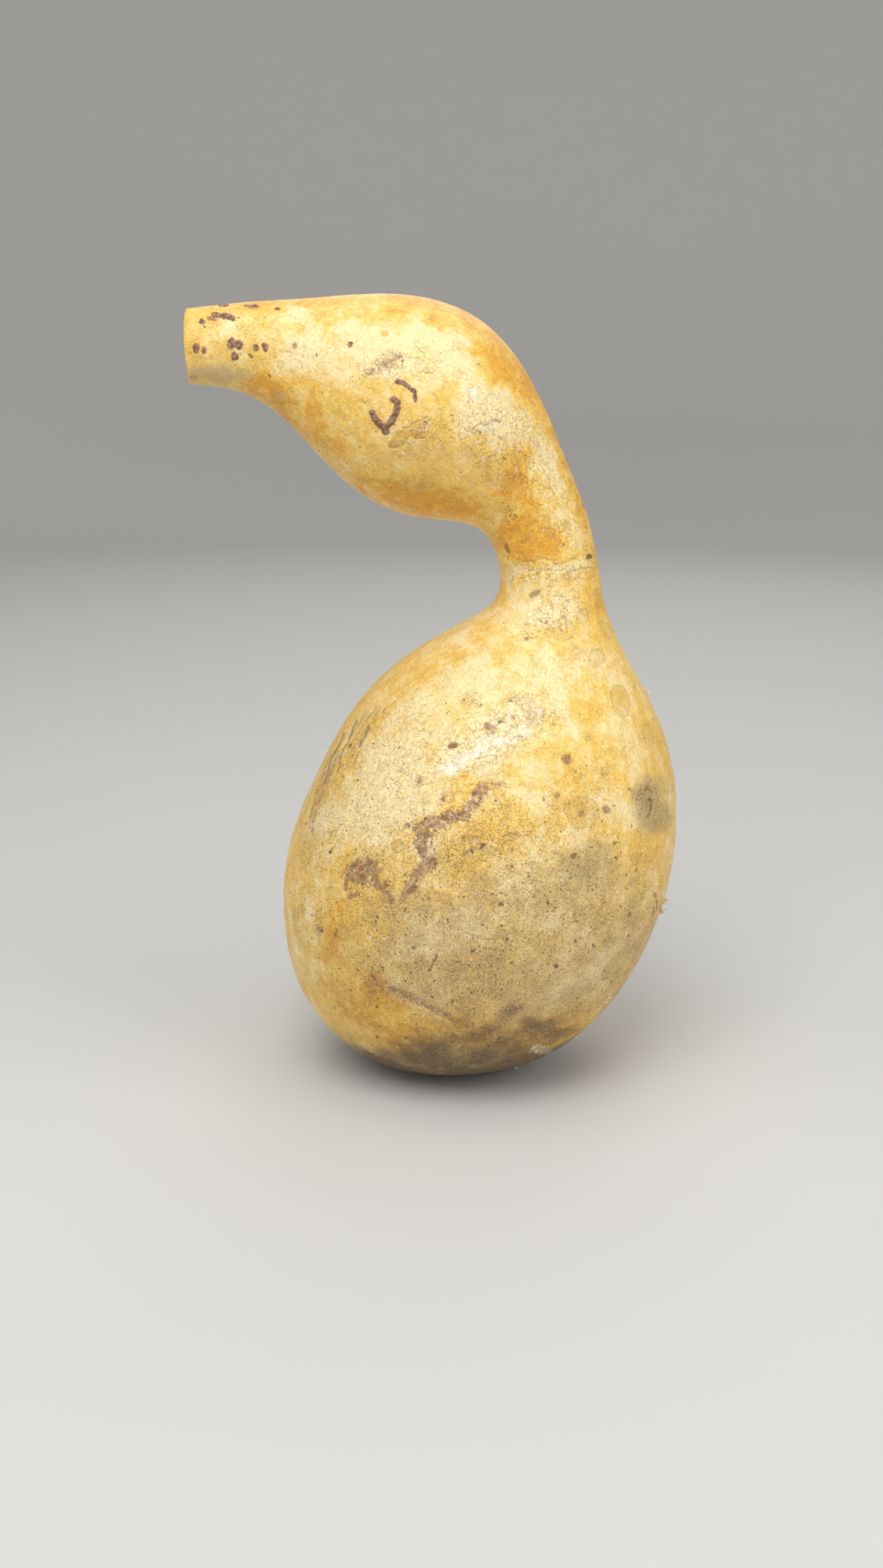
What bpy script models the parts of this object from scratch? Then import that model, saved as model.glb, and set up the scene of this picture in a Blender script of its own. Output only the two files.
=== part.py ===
"""A dried bottle gourd: one hollow shell with two chambers, a bent neck and a sawn-off stem end.

The gourd stands on a small flat spot under its large chamber. The origin is the middle of that
spot, +Z is up, and the stem end points to -X. The plane of the bend is y = 0, apart from a
slight lean of the neck towards +Y.
"""

import math
from typing import NamedTuple

import bmesh
import bpy
import numpy as np
from mathutils import Matrix, Vector

MM = 0.001


class Section(NamedTuple):
    """One slice across the gourd's own axis, in millimetres and degrees.

    x and z place its centre in the plane of the bend, half_width is measured in that plane,
    and slope turns that width up from +X.
    """

    name: str
    x: float
    z: float
    half_width: float
    slope: float


SECTIONS = (
    Section("stem stub", -112.0, 274.0, 13.0, 93.0),
    Section("mouth", -104.0, 274.5, 13.5, 92.0),
    Section("stem end", -83.0, 274.5, 16.5, 79.0),
    Section("small shoulder", -61.5, 270.0, 23.5, 72.0),
    Section("small chamber, front", -37.5, 262.0, 34.5, 63.0),
    Section("small chamber, widest", -15.0, 250.0, 38.0, 61.0),
    Section("small chamber, back", 4.0, 237.5, 30.5, 57.0),
    Section("bend", 17.0, 222.5, 21.0, 40.0),
    Section("neck, narrowest", 25.5, 204.5, 18.5, 13.0),
    Section("neck, foot", 28.5, 184.5, 20.0, -1.0),
    Section("large shoulder", 25.0, 168.5, 31.5, -8.0),
    Section("large chamber, upper", 17.0, 141.0, 56.0, -9.0),
    Section("large chamber, middle", 8.0, 107.0, 70.0, -4.0),
    Section("large chamber, widest", 1.0, 74.5, 74.0, -2.0),
    Section("large chamber, lower", -3.5, 38.0, 66.0, 1.0),
    Section("underside, outer", -3.0, 13.5, 48.0, 4.0),
    Section("underside, inner", -2.0, 5.0, 32.5, 3.0),
    Section("foot", 0.0, 0.0, 20.0, 0.0),
)
MOUTH = 1  # the section that the saw cut follows

WALL = 4.5 * MM
DEPTH_SHARE = 0.97  # depth across the bend, as a share of the width in it
LOBE_SHARE = 0.015  # how far growth has swelled one side more than the other
LOBE_WAVES = 7.0
NECK_LEAN = 4.0 * MM  # how far the top of the gourd leans towards +Y
TOP_HEIGHT = 294.0 * MM

RINGS = 52
RING_POINTS = 40

SAW_BLOCK = 60.0 * MM
SMOOTH_ANGLE = math.radians(40)

SHELL_COLOUR = (0.72, 0.46, 0.17, 1.0)
SHELL_ROUGHNESS = 0.45


def clear_scene():
    """Remove every object that the file opened with."""
    for old in list(bpy.data.objects):
        bpy.data.objects.remove(old, do_unlink=True)


def slopes_of(knots):
    """The slope at each knot of the natural cubic through evenly spaced knots."""
    count = len(knots)
    weights = np.diag(np.full(count, 4.0)) + np.eye(count, k=1) + np.eye(count, k=-1)
    weights[0, 0] = weights[-1, -1] = 2.0
    wanted = np.empty_like(knots)
    wanted[1:-1] = knots[2:] - knots[:-2]
    wanted[0] = knots[1] - knots[0]
    wanted[-1] = knots[-1] - knots[-2]
    return np.linalg.solve(weights, 3.0 * wanted)


def smooth_through(knots, count):
    """count rows, evenly spread along the natural cubic that passes through every knot."""
    slopes = slopes_of(knots)
    along = np.linspace(0.0, len(knots) - 1, count)
    first = np.minimum(along.astype(int), len(knots) - 2)
    s = (along - first)[:, None]
    return (
        (2 * s**3 - 3 * s**2 + 1) * knots[first]
        + (s**3 - 2 * s**2 + s) * slopes[first]
        + (3 * s**2 - 2 * s**3) * knots[first + 1]
        + (s**3 - s**2) * slopes[first + 1]
    )


def ring_at(x, z, half_width, slope, share):
    """One ring of points round the gourd, share of the way from the stem stub to the foot."""
    turns = np.linspace(0.0, 2 * math.pi, RING_POINTS, endpoint=False)
    swell = 1 + LOBE_SHARE * np.sin(LOBE_WAVES * share + turns)
    across = half_width * np.cos(turns)
    depth = half_width * DEPTH_SHARE * np.sin(turns) * swell
    height = z + across * math.sin(slope)
    lean = NECK_LEAN * (height / TOP_HEIGHT) ** 2
    return np.stack([x + across * math.cos(slope), depth + lean, height], axis=1)


def outer_skin():
    """The gourd's outer surface: rings lofted from the stem stub down, and closed by the flat foot."""
    knots = np.array([section[1:] for section in SECTIONS])
    knots[:, :3] *= MM
    knots[:, 3] = np.radians(knots[:, 3])
    skin = bmesh.new()
    upper = None
    for index, (x, z, half_width, slope) in enumerate(smooth_through(knots, RINGS)):
        points = ring_at(x, z, half_width, slope, index / (RINGS - 1))
        lower = [skin.verts.new(point) for point in points]
        if upper:
            for a in range(RING_POINTS):
                b = (a + 1) % RING_POINTS
                skin.faces.new((upper[a], lower[a], lower[b], upper[b]))
        upper = lower
    skin.faces.new(reversed(upper))
    mesh = bpy.data.meshes.new("gourd_shell")
    skin.to_mesh(mesh)
    skin.free()
    return mesh


def shell_material():
    """The dry rind: warm ochre with a dull polish."""
    material = bpy.data.materials.new("dried_rind")
    material.use_nodes = True
    shader = material.node_tree.nodes["Principled BSDF"]
    shader.inputs["Base Color"].default_value = SHELL_COLOUR
    shader.inputs["Roughness"].default_value = SHELL_ROUGHNESS
    shader.inputs["Metallic"].default_value = 0.0
    material.diffuse_color = SHELL_COLOUR
    return material


def saw_block(collection):
    """The block that the saw takes off: its near face is the plane of the mouth."""
    mouth = SECTIONS[MOUTH]
    slope = math.radians(mouth.slope)
    outwards = Vector((-math.sin(slope), 0.0, math.cos(slope)))
    centre = Vector((mouth.x, 0.0, mouth.z)) * MM
    bpy.ops.mesh.primitive_cube_add(size=SAW_BLOCK)
    block = bpy.context.active_object
    block.name = "saw_block"
    block.matrix_world = Matrix.Translation(
        centre + outwards * SAW_BLOCK / 2
    ) @ Matrix.Rotation(math.pi / 2 - slope, 4, "Y")
    block.hide_render = True
    block.display_type = "WIRE"
    for holder in list(block.users_collection):
        holder.objects.unlink(block)
    collection.objects.link(block)
    return block


def gourd_shell(collection, block):
    """The hollow shell: the skin given its wall inwards, then sawn open at the mouth."""
    shell = bpy.data.objects.new("gourd_shell", outer_skin())
    collection.objects.link(shell)
    wall = shell.modifiers.new("wall", "SOLIDIFY")
    wall.thickness = WALL
    wall.offset = -1.0
    wall.use_even_offset = True
    cut = shell.modifiers.new("saw_cut", "BOOLEAN")
    cut.operation = "DIFFERENCE"
    cut.solver = "EXACT"
    cut.object = block
    shell.data.materials.append(shell_material())
    shell.data.shade_smooth()
    shell.data.set_sharp_from_angle(angle=SMOOTH_ANGLE)
    return shell


def main():
    """Build the gourd in its own collection, with its cutter in another."""
    clear_scene()
    gourd = bpy.data.collections.new("bottle_gourd")
    cutters = bpy.data.collections.new("cutters")
    for collection in (gourd, cutters):
        bpy.context.scene.collection.children.link(collection)
    gourd_shell(gourd, saw_block(cutters))


main()
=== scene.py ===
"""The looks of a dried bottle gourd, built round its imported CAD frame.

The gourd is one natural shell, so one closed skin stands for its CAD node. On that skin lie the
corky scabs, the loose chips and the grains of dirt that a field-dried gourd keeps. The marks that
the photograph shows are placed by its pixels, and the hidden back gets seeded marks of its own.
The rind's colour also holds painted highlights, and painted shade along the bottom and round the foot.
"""

from __future__ import annotations

import logging
import math
from collections.abc import Sequence
from dataclasses import dataclass, field
from enum import Enum
from functools import reduce
from typing import NamedTuple

import bpy
import numpy as np
from mathutils import Matrix, Vector
from mathutils.bvhtree import BVHTree


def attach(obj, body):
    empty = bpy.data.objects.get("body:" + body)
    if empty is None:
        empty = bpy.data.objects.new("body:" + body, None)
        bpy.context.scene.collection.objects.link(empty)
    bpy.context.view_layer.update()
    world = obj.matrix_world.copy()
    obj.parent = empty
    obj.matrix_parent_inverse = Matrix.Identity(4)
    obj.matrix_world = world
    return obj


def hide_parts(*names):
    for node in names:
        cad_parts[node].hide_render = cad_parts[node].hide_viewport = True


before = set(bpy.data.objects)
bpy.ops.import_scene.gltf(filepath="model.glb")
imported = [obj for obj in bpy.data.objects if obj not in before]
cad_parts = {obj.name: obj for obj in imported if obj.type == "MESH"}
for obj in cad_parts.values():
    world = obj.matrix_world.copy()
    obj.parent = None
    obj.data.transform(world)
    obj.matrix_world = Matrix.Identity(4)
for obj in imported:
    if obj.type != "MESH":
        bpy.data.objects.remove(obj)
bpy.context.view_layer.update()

LOG = logging.getLogger("bottle_gourd")

MM = 0.001
SHELL_NODE = "gourd_shell"

Points = np.ndarray
Colour = tuple[float, float, float, float]
Socket = bpy.types.NodeSocket
Value = Socket | float | Colour
Outputs = bpy.types.bpy_prop_collection


# The photograph's view

PHOTO_WIDTH = 1126
PHOTO_HEIGHT = 2000
SENSOR = 36.0


@dataclass(frozen=True)
class PhotoView:
    """A camera round the gourd, and the pixels that it sees points at.

    Angles are in degrees: azimuth 0 looks along +Y, and elevation is above the horizon.
    """

    azimuth: float = 0.0
    elevation: float = 15.0
    distance: float = 0.720
    target: tuple[float, float, float] = (-0.01217, 0.0, 0.11153)
    focal_pixels: float = 2400.0

    def axes(self) -> tuple[Points, Points, Points]:
        """The view's unit directions to the right, up, and back towards the camera.

        Returns:
            The three directions, each as x, y and z.
        """
        turn, rise = math.radians(self.azimuth), math.radians(self.elevation)
        back = np.array(
            [math.sin(turn) * math.cos(rise), -math.cos(turn) * math.cos(rise), math.sin(rise)]
        )
        right = np.array([math.cos(turn), math.sin(turn), 0.0])
        return right, np.cross(back, right), back

    def eye(self) -> Points:
        """Where the camera stands."""
        return np.array(self.target) + self.axes()[2] * self.distance

    def pixels(self, points: Points) -> Points:
        """The photograph's pixel, across and down, of each point.

        Args:
            points: The points, in metres.

        Returns:
            Each point's pixel.
        """
        right, up, back = self.axes()
        seen = points - self.eye()
        scale = self.focal_pixels / -(seen @ back)
        return np.stack(
            [PHOTO_WIDTH / 2 + scale * (seen @ right), PHOTO_HEIGHT / 2 - scale * (seen @ up)],
            axis=1,
        )

    def ray(self, across: float, down: float) -> Vector:
        """The direction in which the camera sees a pixel.

        Args:
            across: The pixel's place across.
            down: Its place down.

        Returns:
            The unit direction.
        """
        right, up, back = self.axes()
        aim = right * (across - PHOTO_WIDTH / 2) + up * (PHOTO_HEIGHT / 2 - down)
        return Vector(aim - back * self.focal_pixels).normalized()

    def facing(self, points: Points, normals: Points) -> Points:
        """How squarely each point faces the camera: 1 straight on, 0 at the outline."""
        away = self.eye() - points
        return np.sum(away * normals, axis=1) / np.linalg.norm(away, axis=1)

    def make_camera(self) -> bpy.types.Object:
        """Make this view's camera the scene's own.

        Returns:
            The camera object.
        """
        data = bpy.data.cameras.new("photo_camera")
        data.sensor_width = SENSOR
        data.lens = SENSOR * self.focal_pixels / PHOTO_HEIGHT
        camera = bpy.data.objects.new("photo_camera", data)
        bpy.context.scene.collection.objects.link(camera)
        turned = Matrix([list(axis) for axis in self.axes()]).transposed().to_4x4()
        camera.matrix_world = Matrix.Translation(Vector(self.eye())) @ turned
        bpy.context.scene.camera = camera
        return camera


# Random fields

class Ripple:
    """A smooth random field, made of plane waves drawn from one seed."""

    def __init__(self, seed: int, wavelength: float, dimensions: int = 3, waves: int = 16) -> None:
        """Draw the waves.

        Args:
            seed: What the draw starts from.
            wavelength: The middle of the waves' lengths, in the points' unit.
            dimensions: 3 for points in space, 2 for pixels.
            waves: How many waves are added up.
        """
        draw = np.random.default_rng(seed)
        heading = draw.normal(size=(waves, dimensions))
        heading /= np.linalg.norm(heading, axis=1, keepdims=True)
        lengths = wavelength * draw.uniform(0.6, 1.7, waves)
        self.vectors = heading * (2 * math.pi / lengths)[:, None]
        self.phases = draw.uniform(0.0, 2 * math.pi, waves)

    def at(self, points: Points) -> Points:
        """The field's value at each point, mostly between -1 and 1."""
        waves = np.sin(points @ self.vectors.T + self.phases)
        return waves.sum(axis=1) / math.sqrt(len(self.phases))


def smooth_step(low: float, high: float, value: Points) -> Points:
    """0 below low, 1 above high, and an even curve between them."""
    share = np.clip((value - low) / (high - low), 0.0, 1.0)
    return share * share * (3.0 - 2.0 * share)


# The gourd's form, as its CAD shell has it

class Section(NamedTuple):
    """One slice across the gourd's own axis, in millimetres and degrees."""

    name: str
    x: float
    z: float
    half_width: float
    slope: float


@dataclass(frozen=True)
class GourdForm:
    """The smooth surface that the CAD shell is a faceted copy of.

    A point on it is given by along, which counts the sections from the stem stub (0) to the
    foot, and by turn, the angle round the ring there.
    """

    sections: tuple[Section, ...] = (
        Section("stem stub", -112.0, 274.0, 13.0, 93.0),
        Section("mouth", -104.0, 274.5, 13.5, 92.0),
        Section("stem end", -83.0, 274.5, 16.5, 79.0),
        Section("small shoulder", -61.5, 270.0, 23.5, 72.0),
        Section("small chamber, front", -37.5, 262.0, 34.5, 63.0),
        Section("small chamber, widest", -15.0, 250.0, 38.0, 61.0),
        Section("small chamber, back", 4.0, 237.5, 30.5, 57.0),
        Section("bend", 17.0, 222.5, 21.0, 40.0),
        Section("neck, narrowest", 25.5, 204.5, 18.5, 13.0),
        Section("neck, foot", 28.5, 184.5, 20.0, -1.0),
        Section("large shoulder", 25.0, 168.5, 31.5, -8.0),
        Section("large chamber, upper", 17.0, 141.0, 56.0, -9.0),
        Section("large chamber, middle", 8.0, 107.0, 70.0, -4.0),
        Section("large chamber, widest", 1.0, 74.5, 74.0, -2.0),
        Section("large chamber, lower", -3.5, 38.0, 66.0, 1.0),
        Section("underside, outer", -3.0, 13.5, 48.0, 4.0),
        Section("underside, inner", -2.0, 5.0, 32.5, 3.0),
        Section("foot", 0.0, 0.0, 20.0, 0.0),
    )
    mouth: float = 1.0
    wall: float = 4.5 * MM
    depth_share: float = 0.97
    lobe_share: float = 0.015
    lobe_waves: float = 7.0
    neck_lean: float = 4.0 * MM
    top_height: float = 294.0 * MM
    ring_points: int = 64

    @property
    def last(self) -> float:
        """The foot's place along the gourd."""
        return float(len(self.sections) - 1)

    def knots(self) -> Points:
        """Each section's x, z, half width and slope, in metres and radians.

        Returns:
            One row for each section.
        """
        table = np.array([section[1:] for section in self.sections])
        table[:, :3] *= MM
        table[:, 3] = np.radians(table[:, 3])
        return table

    @staticmethod
    def slopes(knots: Points) -> Points:
        """The slope at each knot of the natural cubic through them.

        Args:
            knots: The sections' rows.

        Returns:
            Each knot's slope, in each column.
        """
        count = len(knots)
        weights = np.diag(np.full(count, 4.0)) + np.eye(count, k=1) + np.eye(count, k=-1)
        weights[0, 0] = weights[-1, -1] = 2.0
        wanted = np.empty_like(knots)
        wanted[1:-1] = knots[2:] - knots[:-2]
        wanted[0] = knots[1] - knots[0]
        wanted[-1] = knots[-1] - knots[-2]
        return np.linalg.solve(weights, 3.0 * wanted)

    def slices(self, along: Points) -> Points:
        """x, z, half width and slope at each place along the gourd.

        Args:
            along: Each point's place along the gourd.

        Returns:
            One row for each place.
        """
        knots = self.knots()
        slopes = self.slopes(knots)
        first = np.clip(along.astype(int), 0, len(knots) - 2)
        s = (along - first)[:, None]
        return (
            (2 * s**3 - 3 * s**2 + 1) * knots[first]
            + (s**3 - 2 * s**2 + s) * slopes[first]
            + (3 * s**2 - 2 * s**3) * knots[first + 1]
            + (s**3 - s**2) * slopes[first + 1]
        )

    def outer(self, along: Points, turn: Points) -> Points:
        """Points on the outside of the gourd.

        Args:
            along: Each point's place along the gourd.
            turn: Each point's angle round the gourd.

        Returns:
            The points, in metres.
        """
        x, z, half_width, slope = self.slices(along).T
        swell = 1 + self.lobe_share * np.sin(self.lobe_waves * along / self.last + turn)
        across = half_width * np.cos(turn)
        depth = half_width * self.depth_share * np.sin(turn) * swell
        height = z + across * np.sin(slope)
        lean = self.neck_lean * (height / self.top_height) ** 2
        return np.stack([x + across * np.cos(slope), depth + lean, height], axis=1)

    def outward(self, along: Points, turn: Points) -> Points:
        """The unit normals of the outside.

        Args:
            along: Each point's place along the gourd.
            turn: Each point's angle round the gourd.

        Returns:
            The unit normals.
        """
        step = 1e-3
        high = np.minimum(along + step, self.last)
        low = high - 2 * step
        down = self.outer(high, turn) - self.outer(low, turn)
        aside = self.outer(along, turn + step) - self.outer(along, turn - step)
        normal = np.cross(down, aside)
        return normal / np.linalg.norm(normal, axis=1, keepdims=True)

    def inner(self, along: Points, turn: Points) -> Points:
        """Points on the lining, one wall's thickness inside."""
        return self.outer(along, turn) - self.outward(along, turn) * self.wall

    def mouth_centre(self) -> Points:
        """The middle of the sawn mouth."""
        turns = np.linspace(0.0, 2 * math.pi, self.ring_points, endpoint=False)
        return self.outer(np.full(self.ring_points, self.mouth), turns).mean(axis=0)

    def mouth_axis(self) -> Points:
        """The direction in which the mouth opens."""
        slope = math.radians(self.sections[int(self.mouth)].slope)
        return np.array([-math.sin(slope), 0.0, math.cos(slope)])


# Marks, drawn in the photograph's pixels

@dataclass(frozen=True)
class Oval:
    """A round or oval mark: its centre, its half sizes, and its turn in degrees."""

    across: float
    down: float
    half_width: float
    half_height: float
    turn: float = 0.0

    def distance(self, at: Points) -> Points:
        """How many pixels each point lies outside the mark, and below zero inside.

        Args:
            at: The pixels to look at.

        Returns:
            The distances.
        """
        turn = math.radians(self.turn)
        x, y = (at - (self.across, self.down)).T
        x, y = (
            x * math.cos(turn) + y * math.sin(turn),
            y * math.cos(turn) - x * math.sin(turn),
        )
        reach = np.hypot(x / self.half_width, y / self.half_height) + 1e-6
        slant = np.hypot(x / self.half_width**2, y / self.half_height**2) + 1e-6
        return (reach - 1.0) * reach / slant


@dataclass(frozen=True)
class Trail:
    """A mark along a path, with its width at the start and, if it tapers, at the end."""

    path: tuple[tuple[float, float], ...]
    width: float
    end_width: float | None = None

    def distance(self, at: Points) -> Points:
        """How many pixels each point lies outside the mark, and below zero inside.

        Args:
            at: The pixels to look at.

        Returns:
            The distances.
        """
        path = np.array(self.path, float)
        end_width = self.width if self.end_width is None else self.end_width
        widths = np.linspace(self.width, end_width, len(path))
        nearest = np.full(len(at), np.inf)
        for start, end, wide, narrow in zip(path, path[1:], widths, widths[1:]):
            run = end - start
            share = np.clip((at - start) @ run / (run @ run), 0.0, 1.0)
            gap = np.linalg.norm(at - start - share[:, None] * run, axis=1)
            nearest = np.minimum(nearest, gap - (wide + (narrow - wide) * share) / 2)
        return nearest


@dataclass(frozen=True)
class Patch:
    """A mark inside a closed outline."""

    outline: tuple[tuple[float, float], ...]

    def distance(self, at: Points) -> Points:
        """How many pixels each point lies outside the outline, and below zero inside.

        Args:
            at: The pixels to look at.

        Returns:
            The distances.
        """
        inside = np.zeros(len(at), bool)
        x, y = at.T
        for (x0, y0), (x1, y1) in zip(self.outline, self.outline[1:] + self.outline[:1]):
            crosses = (y0 > y) != (y1 > y)
            meets = x0 + (y - y0) * (x1 - x0) / (y1 - y0 if y1 != y0 else 1e-9)
            inside ^= crosses & (x < meets)
        edge = Trail(self.outline + self.outline[:1], 0.0).distance(at)
        return np.where(inside, -edge, edge)


Mark = Oval | Trail | Patch


@dataclass(frozen=True)
class Wash:
    """A soft stain of one mark: how strong it is, and over how many pixels it fades."""

    mark: Mark
    strength: float
    fade: float = 14.0

    def weight(self, at: Points) -> Points:
        """The stain's strength at each point."""
        return self.strength * smooth_step(self.fade, -self.fade, self.mark.distance(at))


class Tone(Enum):
    """The soft stains of the rind, each a layer of its own; some also hold painted highlights and
    painted shade.
    """

    AMBER = "amber"
    # paler skin, and painted highlights and painted light on shaded parts of the neck
    CREAM = "cream"
    # grey-brown dirt, and painted shade in the band along the bottom
    GRIME = "grime"
    OLIVE = "olive"
    # soil stains, and painted shade along the bottom and round the foot
    SOIL = "soil"
    SCALY = "scaly"
    STREAKS = "streaks"
    SPECKS = "specks"
    # pale flakes and halos, and painted highlights
    CHALK = "chalk"


class Edge(Enum):
    """The marks with a clear edge, each a layer of distances to that edge."""

    MAUVE = "mauve"
    RUST = "rust"
    SPOT = "spot"
    RING = "ring"
    CRACK = "crack"
    PEEL = "peel"
    GROOVE = "groove"


FAR_PIXELS = 40.0
WARP_WAVES = ((46.0, 1.0), (15.0, 0.45), (6.0, 0.2))
OUTLINES = (Edge.RING, Edge.PEEL)
FILLED = (Edge.MAUVE, Edge.RUST, Edge.SPOT)


@dataclass(frozen=True)
class Chart:
    """All the marks that one view shows."""

    view: PhotoView
    washes: dict[Tone, tuple[Wash, ...]]
    edges: dict[Edge, tuple[Mark, ...]]
    seed: int = 5

    def warped(self, at: Points, by: float) -> Points:
        """The pixels moved a little at random, so that no mark is a perfect shape.

        Args:
            at: The pixels to look at.
            by: How far, in pixels.

        Returns:
            The moved pixels.
        """
        moved = at.copy()
        for axis in range(2):
            for length, share in WARP_WAVES:
                ripple = Ripple(self.seed + 10 * axis + int(length), length, dimensions=2)
                moved[:, axis] += by * share * ripple.at(at)
        return moved

    def tone(self, tone: Tone, at: Points) -> Points:
        """The stain's strength at each pixel, all its washes laid over each other.

        Args:
            tone: The kind of stain.
            at: The pixels to look at.

        Returns:
            The strengths, from 0 to 1.
        """
        clear = np.ones(len(at))
        for wash in self.washes.get(tone, ()):
            clear *= 1.0 - np.clip(wash.weight(at), 0.0, 1.0)
        return 1.0 - clear

    def edge(self, edge: Edge, at: Points) -> Points:
        """The distance in pixels to the nearest mark of a kind.

        Args:
            edge: The kind of mark.
            at: The pixels to look at.

        Returns:
            The distances, below zero inside a mark.
        """
        nearest = np.full(len(at), FAR_PIXELS)
        for mark in self.edges.get(edge, ()):
            found = mark.distance(at)
            closer = np.abs(found) < np.abs(nearest) if edge in OUTLINES else found < nearest
            nearest = np.where(closer, found, nearest)
        return nearest


# The small round scars on the collar
COLLAR_SPOTS = (
    Oval(276, 402, 7, 3.6, 10), Oval(287, 403.5, 6, 4), Oval(295, 405.5, 5, 4),
    Oval(250, 444, 4.4, 6.4), Oval(260, 446.5, 3.2, 4.6), Oval(295.5, 438, 5.6, 7),
    Oval(304.5, 439.5, 5.4, 6.6), Oval(299.6, 454.5, 5.2, 5.4), Oval(326.5, 443.5, 3.4, 4.6),
    Oval(338, 442.5, 3.8, 5.6), Oval(284, 389.5, 8, 1.8), Oval(321.6, 390.6, 9, 2.2),
    Oval(354, 394, 4, 1.8), Oval(446.5, 439.5, 2.8, 3.8, 12),
)


# The peeled flap of wax below the hooked scar
FLAP = Patch(
    (
        (493, 557), (509, 548), (521, 543), (532, 535), (542, 530), (548, 537), (548, 548),
        (542, 556), (534, 559), (520, 560), (511, 568), (500, 572), (494, 566),
    )
)


def halo(spot: Oval) -> Wash:
    """The pale skin round a raised scar."""
    wider = Oval(spot.across, spot.down, spot.half_width + 3, spot.half_height + 3, spot.turn)
    return Wash(wider, 0.3, 2)


# The darker skin where the collar widens into the small chamber
COLLAR_SHADE = Patch(
    ((304, 503), (336, 470), (366, 480), (396, 496), (424, 540), (452, 590), (390, 560))
)
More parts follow.
